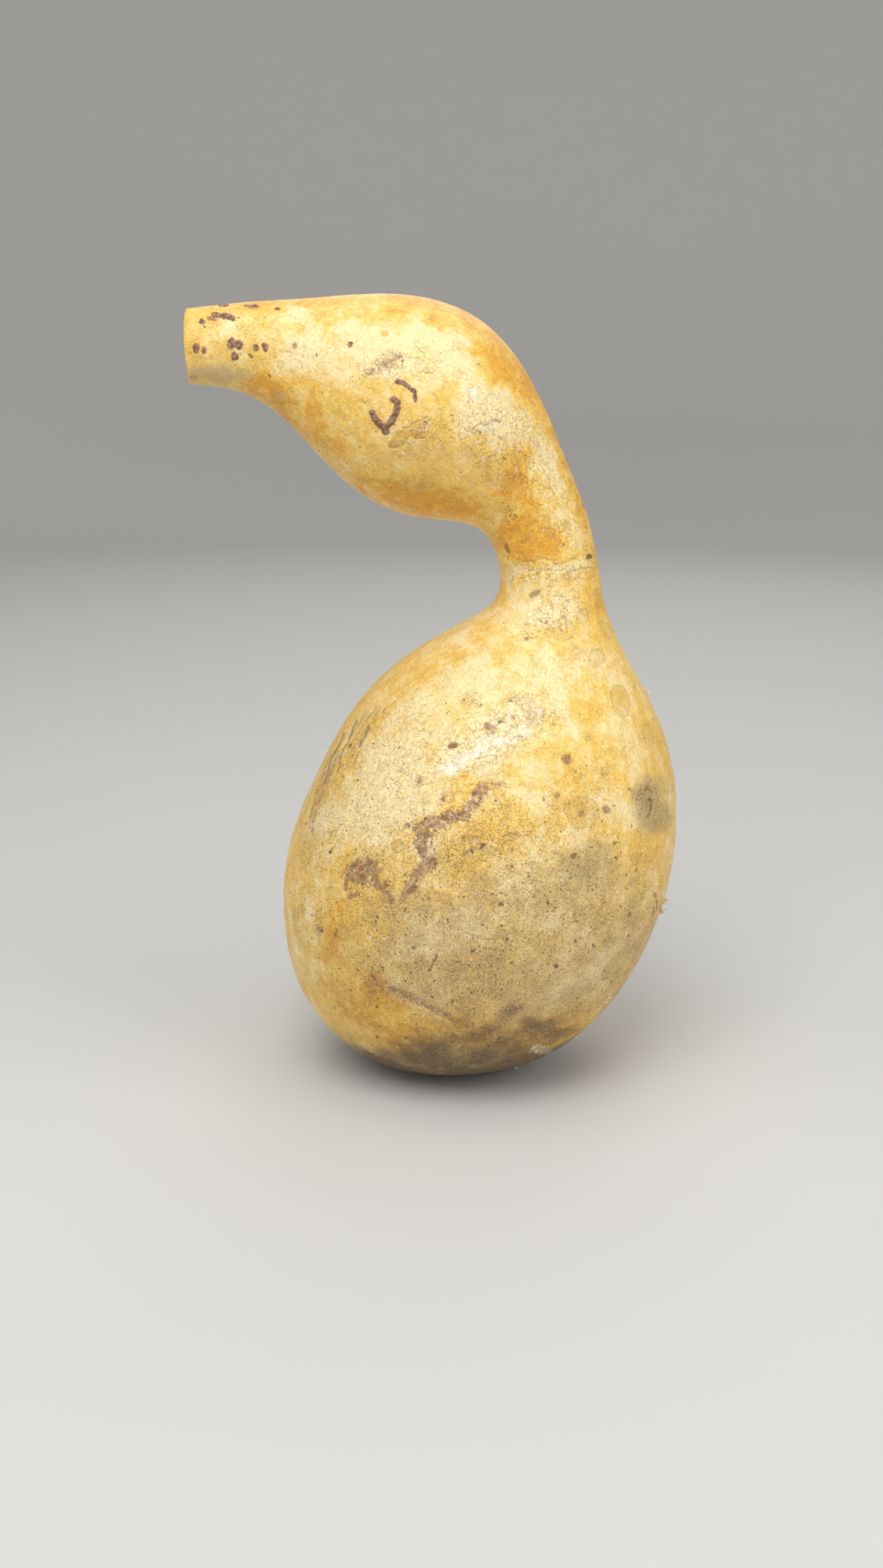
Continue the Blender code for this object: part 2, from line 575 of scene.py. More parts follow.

# The soft stains on the side that the photograph shows, with painted highlights and painted shade among
# them
FRONT_WASHES = {
    Tone.AMBER: (
        Wash(Oval(575, 396, 95, 18, 10), 0.36, 14), Wash(Oval(646, 462, 50, 26, 50), 0.46, 14),
        Wash(Oval(618, 448, 20, 9, -20), 0.4, 6), Wash(Oval(640, 470, 13, 16, 10), 0.45, 6),
        Wash(Oval(352, 391, 42, 7, -3), 0.35, 7),
        Wash(COLLAR_SHADE, 0.24, 5),
        Wash(Oval(333, 496, 22, 14, 30), 0.4, 7), Wash(Oval(372, 524, 58, 18, 38), 0.3, 14),
        # The second wash on the next line darkens the small chamber's underside, partly painted shade
        Wash(Oval(440, 585, 48, 14, 42), 0.2, 14), Wash(Oval(532, 636, 82, 18, 12), 0.62, 14),
        Wash(Oval(430, 522, 52, 24, 32), 0.26, 16),
        Wash(Trail(((690, 500), (727, 590), (752, 660), (766, 720)), 26, 16), 0.38, 10),
        Wash(Oval(676, 640, 42, 74, -12), 0.46, 16), Wash(Oval(692, 690, 36, 22, 10), 0.22, 8),
        Wash(Oval(655, 690, 22, 28), 0.5, 9), Wash(Oval(699, 678, 13, 12), 0.7, 7),
        Wash(Oval(662, 605, 12, 10), 0.6, 7), Wash(Oval(635, 634, 5, 5), 0.9, 4),
        Wash(Oval(528, 555, 14, 4, -8), 0.9, 3), Wash(Oval(490, 423, 5, 3.4), 0.45, 2),
        Wash(FLAP, 0.45, 2), Wash(Oval(560, 560, 26, 16, 10), 0.25, 10),
        Wash(Oval(672, 640, 9, 7), 0.6, 6), Wash(Oval(667, 663, 13, 8), 0.6, 6),
        Wash(Oval(716, 695, 8, 8), 0.6, 5), Wash(Oval(642, 756, 7, 28, -20), 0.3, 7),
        Wash(Oval(757, 775, 9, 42, -12), 0.2, 7), Wash(Oval(452, 950, 20, 110, 34), 0.14, 26),
        Wash(Oval(570, 848, 60, 12, -32), 0.1, 12), Wash(Oval(428, 1180, 13, 32, 12), 0.5, 8),
        Wash(Oval(414, 1217, 12, 9), 0.6, 7), Wash(Oval(474, 1257, 14, 12), 0.85, 7),
        Wash(Oval(500, 1276, 22, 10, 20), 0.5, 8),
        Wash(
            Trail(((560, 381), (620, 408), (668, 470), (702, 540), (732, 600), (752, 664)), 13), 0.26, 8
        ),
        Wash(Trail(((560, 850), (484, 905), (436, 970), (404, 1040)), 12), 0.14, 9),
        Wash(Oval(478, 1267, 17, 12), 0.6, 8),
        Wash(Trail(((330, 384), (450, 377), (560, 385)), 14), 0.3, 8),
        Wash(Oval(745, 880, 24, 50, -22), 0.2, 14), Wash(Oval(600, 446, 30, 12, 20), 0.2, 8),
        Wash(Oval(450, 399, 70, 11, -3), 0.2, 8), Wash(Oval(612, 1322, 130, 34, -6), 0.5, 20),
        Wash(Oval(510, 1298, 78, 20, 12), 0.26, 14), Wash(Oval(730, 1010, 28, 42, 12), 0.24, 9),
        Wash(Oval(446, 1262, 34, 44, -30), 0.12, 18), Wash(Oval(589, 989, 6, 5), 0.8, 4),
        Wash(Oval(580, 1024, 30, 12, -30), 0.24, 8), Wash(Oval(640, 1056, 60, 14, -10), 0.14, 12),
        Wash(Oval(556, 1150, 34, 20, -20), 0.35, 12), Wash(Oval(620, 1232, 40, 18, -8), 0.3, 14),
        Wash(Oval(700, 1215, 20, 10, -30), 0.25, 8), Wash(Oval(500, 1185, 22, 14), 0.3, 10),
        Wash(Oval(600, 1110, 30, 10, -20), 0.3, 8), Wash(Oval(845, 1050, 10, 120, 2), 0.25, 12),
    ),
    # Paler skin, and painted light: the ovals round 470, 440, 536, 450, 620, 945, 700, 762 and 706, 775
    # are painted highlights, and those at 706, 636 and 690, 620 lighten the neck where the small chamber
    # shades it
    Tone.CREAM: (
        Wash(Oval(470, 440, 125, 34, -6), 0.62, 20),
        Wash(Patch(((369, 390), (384, 416), (387, 440), (386, 476), (402, 470), (408, 392))), 0.6, 4),
        Wash(Oval(300, 425, 44, 26), 0.3, 14), Wash(Oval(622, 528, 38, 34), 0.6, 15),
        Wash(Oval(706, 636, 20, 72, -16), 0.6, 12),
        Wash(Trail(((648, 731), (690, 724), (735, 722), (764, 720)), 13), 0.85, 5),
        Wash(Oval(706, 775, 34, 20, -15), 0.5, 14), Wash(Oval(672, 872, 80, 62), 0.42, 26),
        Wash(Oval(620, 945, 66, 28, -28), 0.7, 18), Wash(Oval(490, 1010, 52, 62, 15), 0.5, 26),
        Wash(Oval(546, 1086, 13, 16), 0.6, 8), Wash(Oval(700, 762, 56, 34, -5), 0.6, 14),
        Wash(Oval(585, 842, 84, 30, -34), 0.5, 22), Wash(Oval(536, 450, 90, 30, -4), 0.5, 14),
        Wash(Oval(456, 985, 40, 110, 24), 0.55, 24), Wash(Oval(565, 482, 36, 14, -5), 0.5, 10),
        Wash(Oval(404, 1090, 22, 90, 8), 0.4, 14), Wash(Oval(610, 900, 90, 46, -25), 0.35, 26),
        Wash(Oval(655, 570, 34, 26, 30), 0.35, 14), Wash(Oval(690, 620, 16, 22, -16), 0.5, 8),
    ),
    Tone.GRIME: (
        Wash(Oval(276, 478, 44, 14, 2), 0.85, 10), Wash(Oval(246, 486, 9, 8), 0.7, 5),
        Wash(Oval(488, 465, 32, 8, -27), 0.3, 4), Wash(Oval(358, 503, 7, 5, 20), 0.5, 4),
        Wash(Oval(565, 596, 92, 38, 12), 0.3, 24), Wash(FLAP, 0.4, 1.5),
        Wash(Oval(560, 575, 40, 14, 10), 0.2, 10), Wash(Oval(735, 632, 14, 30, -16), 0.12, 10),
        Wash(Oval(652, 1205, 190, 110, -4), 0.6, 46), Wash(Oval(600, 1240, 70, 26, 10), 0.25, 20),
        Wash(Oval(745, 1112, 46, 34, -20), 0.4, 14),
        Wash(Trail(((502, 1258), (530, 1272), (552, 1284)), 22, 12), 0.7, 8),
        # The second wash on the next line is painted shade along the bottom
        Wash(Oval(830, 1026, 30, 40, -10), 0.6, 12), Wash(Oval(570, 1372, 190, 34, 0), 0.9, 20),
        Wash(Oval(630, 1280, 120, 50, -14), 0.3, 24), Wash(Oval(570, 1200, 60, 40, -14), 0.2, 24),
        Wash(Oval(380, 1095, 10, 150, 6), 0.16, 8), Wash(Oval(394, 1225, 22, 50, -16), 0.3, 12),
        Wash(Oval(652, 1291, 24, 13, -20), 0.55, 8), Wash(Oval(690, 1280, 70, 18, -16), 0.3, 14),
        Wash(Oval(505, 1165, 48, 28, -12), 0.2, 16), Wash(Oval(800, 1240, 44, 80, 32), 0.3, 22),
    ),
    Tone.OLIVE: (
        Wash(Oval(246, 418, 14, 22), 0.3, 10), Wash(Oval(284, 474, 34, 11), 0.4, 9),
        Wash(FLAP, 0.25, 1.5), Wash(Oval(520, 605, 62, 26, 12), 0.2, 18),
        Wash(Oval(668, 565, 24, 14, 20), 0.2, 10), Wash(Oval(737, 834, 13, 12), 0.4, 7),
        Wash(Oval(684, 915, 17, 13), 0.65, 7), Wash(Oval(830, 1028, 27, 37, -10), 0.62, 12),
        # The first wash on the next line darkens the small chamber's underside, partly painted shade
        Wash(Oval(566, 634, 84, 14, 14), 0.3, 10), Wash(Oval(748, 1100, 40, 28, -24), 0.62, 12),
        Wash(Oval(715, 1150, 60, 34, -20), 0.3, 22), Wash(Oval(440, 1230, 40, 60, -16), 0.25, 20),
        Wash(Oval(500, 1345, 90, 20, 6), 0.3, 14),
    ),
    # Scaly wax: fine wrinkles and pale flakes. The ovals at 706, 782 and 632, 940 lie on painted
    # highlights and add pale flakes there
    Tone.SCALY: (
        Wash(Oval(640, 560, 66, 42, 24), 0.8, 20), Wash(Oval(704, 640, 34, 74, -16), 0.5, 14),
        Wash(Oval(532, 556, 34, 22, -20), 0.7, 10), Wash(Oval(706, 730, 60, 14, -3), 0.9, 8),
        Wash(Oval(706, 782, 40, 26, -15), 0.7, 14), Wash(Oval(632, 940, 86, 34, -24), 0.9, 18),
        Wash(Oval(480, 1000, 90, 120, 20), 0.5, 36), Wash(Oval(600, 1050, 90, 50, -10), 0.5, 24),
        Wash(Oval(500, 470, 50, 20, -15), 0.5, 12), Wash(Oval(650, 1190, 170, 100), 0.45, 40),
    ),
    Tone.STREAKS: (
        Wash(Trail(((476, 908), (434, 970), (404, 1040), (390, 1110), (384, 1180)), 22, 12), 0.55, 9),
        Wash(Trail(((610, 828), (556, 850), (508, 880), (470, 915)), 12), 0.5, 8),
        Wash(Oval(456, 1180, 40, 60, 10), 0.25, 20),
        Wash(Trail(((852, 980), (856, 1060), (850, 1130)), 10), 0.5, 6),
        Wash(Oval(690, 1300, 80, 26, -24), 0.4, 16), Wash(Oval(520, 1330, 100, 20, 10), 0.4, 12),
    ),
    # Soil stains; the three widest ovals, along the bottom, are painted shade
    Tone.SOIL: (
        Wash(Oval(655, 1290, 20, 10, -20), 0.5, 9), Wash(Oval(830, 1030, 22, 32, -10), 0.3, 14),
        Wash(Oval(620, 1326, 120, 40, -6), 0.26, 24), Wash(FLAP, 0.3, 1.5),
        Wash(Oval(528, 554, 12, 4, -8), 0.3, 3), Wash(Oval(488, 464, 30, 8, -27), 0.3, 4),
        Wash(Oval(243, 487, 9, 5), 0.5, 5), Wash(Oval(752, 712, 2.6, 3.8, -20), 1.0, 1.2),
        Wash(Oval(560, 1392, 210, 44), 0.8, 26), Wash(Oval(690, 1310, 60, 16, -24), 0.3, 16),
        Wash(Oval(610, 1334, 130, 28, -5), 0.5, 22),
    ),
    Tone.SPECKS: (
        Wash(Oval(300, 440, 60, 44), 0.3, 20), Wash(Oval(486, 466, 38, 11, -25), 0.6, 6),
        Wash(Oval(610, 560, 70, 44, 20), 0.22, 24), Wash(Oval(646, 655, 12, 13), 0.8, 6),
        Wash(Oval(715, 640, 24, 60, -14), 0.2, 14), Wash(Oval(480, 1000, 74, 130, 22), 0.34, 40),
        Wash(Oval(640, 1190, 240, 150), 0.85, 60), Wash(Oval(600, 893, 14, 8), 0.9, 5),
        Wash(Oval(668, 895, 22, 12), 0.8, 7), Wash(Oval(740, 1010, 40, 50, 10), 0.5, 16),
        Wash(Oval(830, 1030, 24, 36, -10), 1.0, 12), Wash(Oval(395, 1060, 28, 150, 7), 0.3, 16),
        Wash(Oval(665, 724, 20, 8), 0.5, 6),
    ),
    # Pale flakes and halos round the scars, with painted highlights on the large chamber and the neck
    Tone.CHALK: (
        *(halo(spot) for spot in COLLAR_SPOTS),
        # Painted highlight: a white band across the large chamber's upper front
        Wash(Trail(((572, 978), (596, 964), (622, 950), (650, 940), (672, 930)), 22, 14), 1.0, 8),
        Wash(Oval(606, 503, 8, 12, 5), 0.75, 2),
        Wash(Trail(((371, 391), (378, 402), (386, 418), (388, 450)), 3.5, 2), 0.6, 2),
        Wash(Oval(626, 505, 8, 11, -15), 0.6, 3), Wash(Oval(633, 621, 6, 8), 0.45, 3),
        Wash(Oval(530, 545.5, 3.4, 2.4, -30), 0.9, 1.2), Wash(Oval(537.5, 545.5, 2.4, 3), 0.9, 1.2),
        Wash(Oval(542, 538, 4, 2.6, -30), 0.9, 1.2), Wash(Oval(544.5, 547.5, 2, 4), 0.9, 1.2),
        Wash(
            Trail(((490, 556), (506, 546), (520, 539), (534, 531), (545, 526), (552, 536)), 2), 0.6, 1.6
        ),
        Wash(
            Trail(((552, 540), (552, 552), (544, 561), (522, 565), (512, 573), (500, 577)), 2), 0.6, 1.6
        ),
        # The first wash on the next line is a painted highlight on the neck
        Wash(Oval(712, 768, 12, 8, 30), 0.6, 7), Wash(Oval(688, 1340, 15, 8, -12), 0.75, 3),
        Wash(Oval(617, 1278, 4, 3), 0.9, 2), Wash(Oval(654, 915, 14, 10), 0.3, 8),
        Wash(Oval(480, 478, 26, 4, -10), 0.6, 3), Wash(Oval(540, 466, 30, 8, 5), 0.35, 6),
        Wash(Oval(626, 549, 20, 9, -20), 0.6, 6),
    ),
}

# The sharp-edged marks there
FRONT_EDGES = {
    Edge.MAUVE: (
        Trail(((644, 999), (628, 1001), (616, 1007)), 4, 17),
        Trail(((616, 1007), (608, 1018), (600, 1030), (592, 1044)), 20, 13),
        Trail(((596, 1042), (572, 1042), (552, 1050), (540, 1060)), 14, 27),
        Trail(((540, 1058), (538, 1076), (546, 1092), (548, 1104)), 22, 18),
        Trail(((543, 1100), (531, 1114), (524, 1128), (514, 1143)), 15, 12),
        Trail(((500, 1263), (530, 1278), (556, 1292), (582, 1305)), 8, 3), Oval(462, 1110, 27, 15, -18),
        Trail(((466, 478), (486, 466), (510, 454)), 4, 7),
        Trail(((470, 1124), (484, 1132), (500, 1148)), 14, 6), Oval(405, 1187, 4, 8, -8),
        Oval(452, 1142, 13, 5, -10), Oval(629, 927, 4, 7, 15), Oval(658, 1291, 12, 5, -25),
        Trail(((432, 962), (418, 990), (404, 1024), (396, 1060)), 3, 2),
        Trail(((424, 958), (408, 996), (396, 1032)), 2),
        Trail(((415, 990), (398, 1034), (388, 1076)), 2.5, 1),
    ),
    Edge.RUST: (
        Trail(((558, 1219), (553, 1227), (547, 1238)), 4, 3), Trail(((471, 1243), (476, 1250)), 3),
        Trail(((840, 1146), (836, 1160)), 1.5), Trail(((833, 1158), (831, 1168)), 2),
        Trail(((828, 1003), (824, 1012)), 3, 1.5), Trail(((833, 1020), (831, 1030), (826, 1042)), 3, 2),
        Trail(((799, 1005), (807, 1008)), 2), Oval(731, 1091, 4, 4.5), Oval(577, 952, 7, 4, -20),
        Oval(460, 1108, 3, 2.6), Oval(493, 1124, 2.4, 3),
        Trail(((613, 1002), (620, 1005), (628, 1003)), 1.8, 1),
        Trail(((564, 1042), (570, 1036), (578, 1038)), 1.6, 1),
        Trail(((540, 1070), (543, 1079), (538, 1088)), 1.6, 1), Oval(652, 915, 3, 3),
        Oval(270, 406, 8, 2.4, 20),
    ),
    Edge.RING: (
        Oval(717, 803, 15, 14), Oval(718, 783, 5, 5), Oval(744, 784, 8, 9), Oval(729, 733, 10, 6),
        Oval(773, 803, 6, 12, -16), Oval(764, 762, 5, 12, -8), Oval(760, 838, 10, 11),
        Oval(792, 894, 11, 20, -20), Oval(827, 939, 7, 17, -12), Oval(763.5, 908, 4, 4.5),
        Oval(751, 942, 3.2, 3.4), Oval(742, 989, 3, 3.5), Oval(771.5, 984, 4.5, 7),
        Oval(744, 1036, 21, 21), Oval(706, 1022, 7, 8), Oval(811, 1095, 5, 7.5),
        Oval(811, 1119, 5, 9, 8),
        Oval(755, 1107, 9, 10), Oval(534, 997, 5.5, 7.5, 20), Oval(506, 1080, 8, 7.5),
        Oval(571, 1014, 7, 10, -28), Oval(407, 1167, 3.5, 6), Oval(439, 1186, 4.5, 5.5),
        Oval(358, 466, 4.5, 4.5), Oval(490.5, 423.5, 4.4, 3.4), Oval(492, 1146, 6, 5, 20),
        Oval(627, 929, 6, 9, 15), Oval(651, 917, 9, 9), Oval(610, 1062, 10, 5, -10),
        Oval(596, 1070, 9, 4.5, 14), Oval(655, 1066, 9, 4, -6), Oval(517, 1081, 4, 4),
        Oval(702, 679, 7, 7),
    ),
    Edge.CRACK: (
        Trail(((656, 723), (672, 717), (693, 714), (714, 719), (733, 713), (741, 709)), 1.0),
        Trail(((662, 739), (680, 737), (687, 730), (702, 727), (724, 727), (764, 725)), 1.2),
        Trail(((655, 795), (676, 794), (688, 789), (700, 787), (706, 791)), 1.0),
        Trail(((667, 801), (672, 808), (679, 813), (692, 809), (703, 803)), 0.8),
        Oval(751, 711, 1.6, 2.6, -20), Oval(717, 803, 2, 2),
        Trail(((434, 1110), (448, 1100), (464, 1093), (482, 1090), (488, 1093)), 0.8),
        Trail(((678, 1201), (690, 1192), (701, 1184), (711, 1176), (721, 1166)), 1.2),
        Trail(((584, 1187), (600, 1193), (617, 1199), (640, 1201)), 0.8),
        Trail(((611, 1207), (622, 1211), (634, 1214)), 0.6),
        Trail(((600, 1242), (612, 1240), (622, 1243), (630, 1241), (634, 1250)), 0.7),
        Trail(((498, 540), (502, 543)), 1.4), Trail(((460, 512), (464, 517), (468, 514)), 1.0),
        Trail(((604, 548), (605, 556)), 1.8),
        Trail(((520, 470), (536, 474), (553, 474), (562, 468)), 0.8),
        Trail(((492, 560), (497, 572), (511, 569), (521, 561), (534, 560), (543, 557), (549, 548)), 0.9),
        Trail(((518, 546), (526, 540), (533, 536)), 0.9), Oval(492, 425.5, 2.2, 0.8),
        Trail(((598, 552), (606, 546), (612, 541), (622, 543), (634, 537), (642, 539)), 0.9),
        Trail(((640, 560), (652, 566), (660, 577), (672, 583)), 0.8),
        Trail(((655, 610), (668, 606), (676, 616), (690, 612)), 0.8),
        Trail(((368, 391), (374, 402), (384, 416), (387, 440), (386, 472)), 0.7),
        Trail(((497, 592), (500, 604), (496, 616), (498, 628)), 0.7),
        Trail(((518, 460), (535, 459), (549, 461)), 0.7),
        Trail(((640, 698), (646, 706), (645, 716)), 0.8), Trail(((690, 1336), (686, 1344)), 1.0),
        Trail(((694, 1334), (691, 1343)), 1.0), Trail(((699, 1333), (696, 1341)), 1.0),
        Trail(((569, 845), (590, 838), (604, 832)), 0.6), Oval(475, 1107, 1, 1),
        Oval(543, 1180, 1.2, 2.4), Oval(610, 1027, 1.4, 1.4), Oval(616, 1036, 1.6, 1.6),
        Oval(628, 1028, 1.2, 1.2), Oval(565, 1020, 2.2, 3),
    ),
    Edge.SPOT: (
        Oval(375, 440, 4, 4.4), Oval(694, 1019, 3, 3.2), Oval(723, 968, 7, 6), Oval(773.5, 1033, 5.4, 6),
        Oval(518.5, 1052, 5, 5), Oval(681, 757, 9, 3.4, -30), Oval(698, 793, 3.2, 4),
        Oval(672, 813, 3.4, 2.6), Oval(744, 1037, 5, 6), Oval(712, 1015, 4, 5), Oval(565, 1020, 3, 4),
        Oval(534, 997, 3.4, 5, 20), Oval(622, 925, 4, 6, 20), Oval(663, 938, 5, 3),
        Oval(646, 700, 3, 8, -6), Oval(593, 1090, 3, 5, 20), Oval(547, 1147, 3, 3),
        Oval(752, 712, 2.6, 3.6, -20), Oval(452, 1103, 7, 3.6, -20), Oval(471, 1101, 5, 3.4),
        Oval(462, 1117, 5, 4), Oval(480, 1121, 4, 5), Oval(491, 1129, 4, 5), Oval(448, 1121, 4, 3),
        Oval(498, 1150, 3, 3), Oval(606, 1012, 6, 4, -30), Oval(590, 1036, 7, 4, -30),
        Oval(566, 1042, 6, 4), Oval(543, 1064, 4, 7), Oval(536, 1084, 4, 6), Oval(552, 1098, 5, 4),
        Oval(525, 1134, 9, 5, -30), Oval(440, 1130, 4, 8, 10), Oval(428, 1190, 3, 7, 10),
        Oval(838, 1142, 3, 4), Trail(((470, 925), (458, 948), (449, 975)), 3.5, 2),
        Trail(((455, 920), (440, 950), (428, 985)), 3, 2),
        Trail(((438, 935), (420, 975), (409, 1010)), 3.5, 2),
        Trail(((600, 1080), (622, 1086), (640, 1082)), 2, 1.5),
        Trail(((650, 1062), (668, 1066), (680, 1060)), 2.5, 1.5),
        Trail(((708, 1086), (718, 1088)), 2.5, 1.5),
    ),
    Edge.PEEL: (
        Patch(((607, 967), (627, 963), (634, 968), (628, 981), (610, 992), (604, 980))), FLAP,
        Patch(((598, 547), (612, 540), (628, 536), (641, 537), (634, 549), (620, 556))),
        Patch(((600, 494), (612, 492), (616, 508), (609, 516), (599, 511))),
        Patch(((621, 503), (632, 500), (636, 512), (628, 517), (620, 512))),
        Patch(((565, 1037), (582, 1030), (600, 1025), (604, 1034), (588, 1044), (568, 1043))),
        Patch(((672, 1338), (690, 1331), (703, 1331), (700, 1342), (684, 1348), (673, 1346))),
    ),
    Edge.GROOVE: (
        Trail(((503, 1265), (518, 1272), (533, 1279), (548, 1287)), 9, 6),
        Trail(((548, 1287), (566, 1296), (583, 1306)), 5, 3),
    ),
}


# The large chamber, as the view from behind shows it
BACK_CHAMBER = Oval(515, 1090, 235, 270)
CHAMBER_SHARE = 0.68


def back_chart(seed: int = 23) -> Chart:
    """Marks of the same kinds on the side that the photograph hides, drawn at random.

    Args:
        seed: What the draw starts from.

    Returns:
        The chart of the view from behind.
    """
    draw = np.random.default_rng(seed)

    def spot() -> tuple[float, float]:
        """A place somewhere on the gourd, as seen from behind.

        Returns:
            Its pixel.
        """
        if draw.random() < CHAMBER_SHARE:
            turn, reach = draw.uniform(0.0, 2 * math.pi), math.sqrt(draw.random())
            across = BACK_CHAMBER.across + BACK_CHAMBER.half_width * reach * math.cos(turn)
            return across, BACK_CHAMBER.down + BACK_CHAMBER.half_height * reach * math.sin(turn)
        share = draw.random()
        return 880 - 480 * share, 430 + 330 * share**2.2 + draw.uniform(-60, 60)

    def oval(low: float, high: float) -> Oval:
        """A round mark of about that size somewhere.

        Args:
            low: The least half size.
            high: The greatest.

        Returns:
            The mark.
        """
        across, down = spot()
        size = draw.uniform(low, high)
        return Oval(across, down, size, size * draw.uniform(0.6, 1.3), draw.uniform(-60, 60))

    def washes(count: int, low: float, high: float, strong: float) -> tuple[Wash, ...]:
        """Soft stains of about those sizes.

        Args:
            count: How many.
            low: The least half size.
            high: The greatest.
            strong: The greatest strength.

        Returns:
            The stains.
        """
        return tuple(
            Wash(oval(low, high), draw.uniform(0.35, 1.0) * strong, draw.uniform(8, 26))
            for _ in range(count)
        )

    def wander(step: float, turns: int) -> tuple[tuple[float, float], ...]:
        """A path that wanders from a random place.

        Args:
            step: The length of each leg.
            turns: How many legs.

        Returns:
            The path's pixels.
        """
        here, heading = np.array(spot()), draw.uniform(0.0, 2 * math.pi)
        path = [tuple(here)]
        for _ in range(turns):
            heading += draw.normal(0.0, 0.7)
            here = here + step * np.array([math.cos(heading), math.sin(heading)])
            path.append(tuple(here))
        return tuple(path)

    soft = {
        Tone.AMBER: washes(16, 12, 62, 0.7),
        Tone.CREAM: washes(9, 30, 80, 0.6),
        Tone.GRIME: (
            Wash(Oval(560, 1200, 190, 120), 0.45, 46),
            # Painted shade along the bottom, as on the front
            Wash(Oval(560, 1372, 190, 34), 0.9, 20),
            *washes(7, 14, 56, 0.5),
        ),
        Tone.OLIVE: washes(8, 12, 44, 0.55),
        Tone.SPECKS: (Wash(Oval(560, 1180, 240, 160), 0.85, 60), *washes(9, 16, 70, 0.9)),
        # The first wash here is painted shade along the bottom; the drawn ones are soil stains
        Tone.SOIL: (Wash(Oval(560, 1388, 210, 40), 0.8, 26), *washes(3, 10, 30, 0.4)),
        Tone.STREAKS: washes(8, 12, 50, 0.7),
        Tone.SCALY: washes(10, 20, 80, 0.9),
        Tone.CHALK: washes(9, 3, 14, 0.7),
    }
    sharp = {
        Edge.MAUVE: (
            *(Trail(wander(16, 4), draw.uniform(5, 15), draw.uniform(3, 9)) for _ in range(4)),
            *(oval(4, 17) for _ in range(5)),
        ),
        Edge.RUST: tuple(Trail(wander(6, 2), draw.uniform(1.5, 4)) for _ in range(9)),
        Edge.SPOT: tuple(oval(1.6, 5.5) for _ in range(20)),
        Edge.RING: tuple(oval(4, 15) for _ in range(22)),
        Edge.CRACK: tuple(Trail(wander(11, 5), 0.9) for _ in range(10)),
        Edge.PEEL: tuple(Patch(blotch(spot(), draw.uniform(9, 24), draw)) for _ in range(6)),
        Edge.GROOVE: (Trail(wander(13, 4), 7, 3),),
    }
    return Chart(PhotoView(azimuth=180.0), soft, sharp, seed=seed)


def blotch(centre: tuple[float, float], size: float, draw: np.random.Generator) -> tuple:
    """An uneven closed outline round a centre, in pixels.

    Args:
        centre: The middle.
        size: The reach from it.
        draw: The random draw.

    Returns:
        The outline's pixels.
    """
    reaches = size * draw.uniform(0.6, 1.2, 9)
    return tuple(
        (centre[0] + reach * math.cos(turn), centre[1] + reach * math.sin(turn))
        for reach, turn in zip(reaches, np.linspace(0.0, 2 * math.pi, 9, endpoint=False))
    )


# Node trees

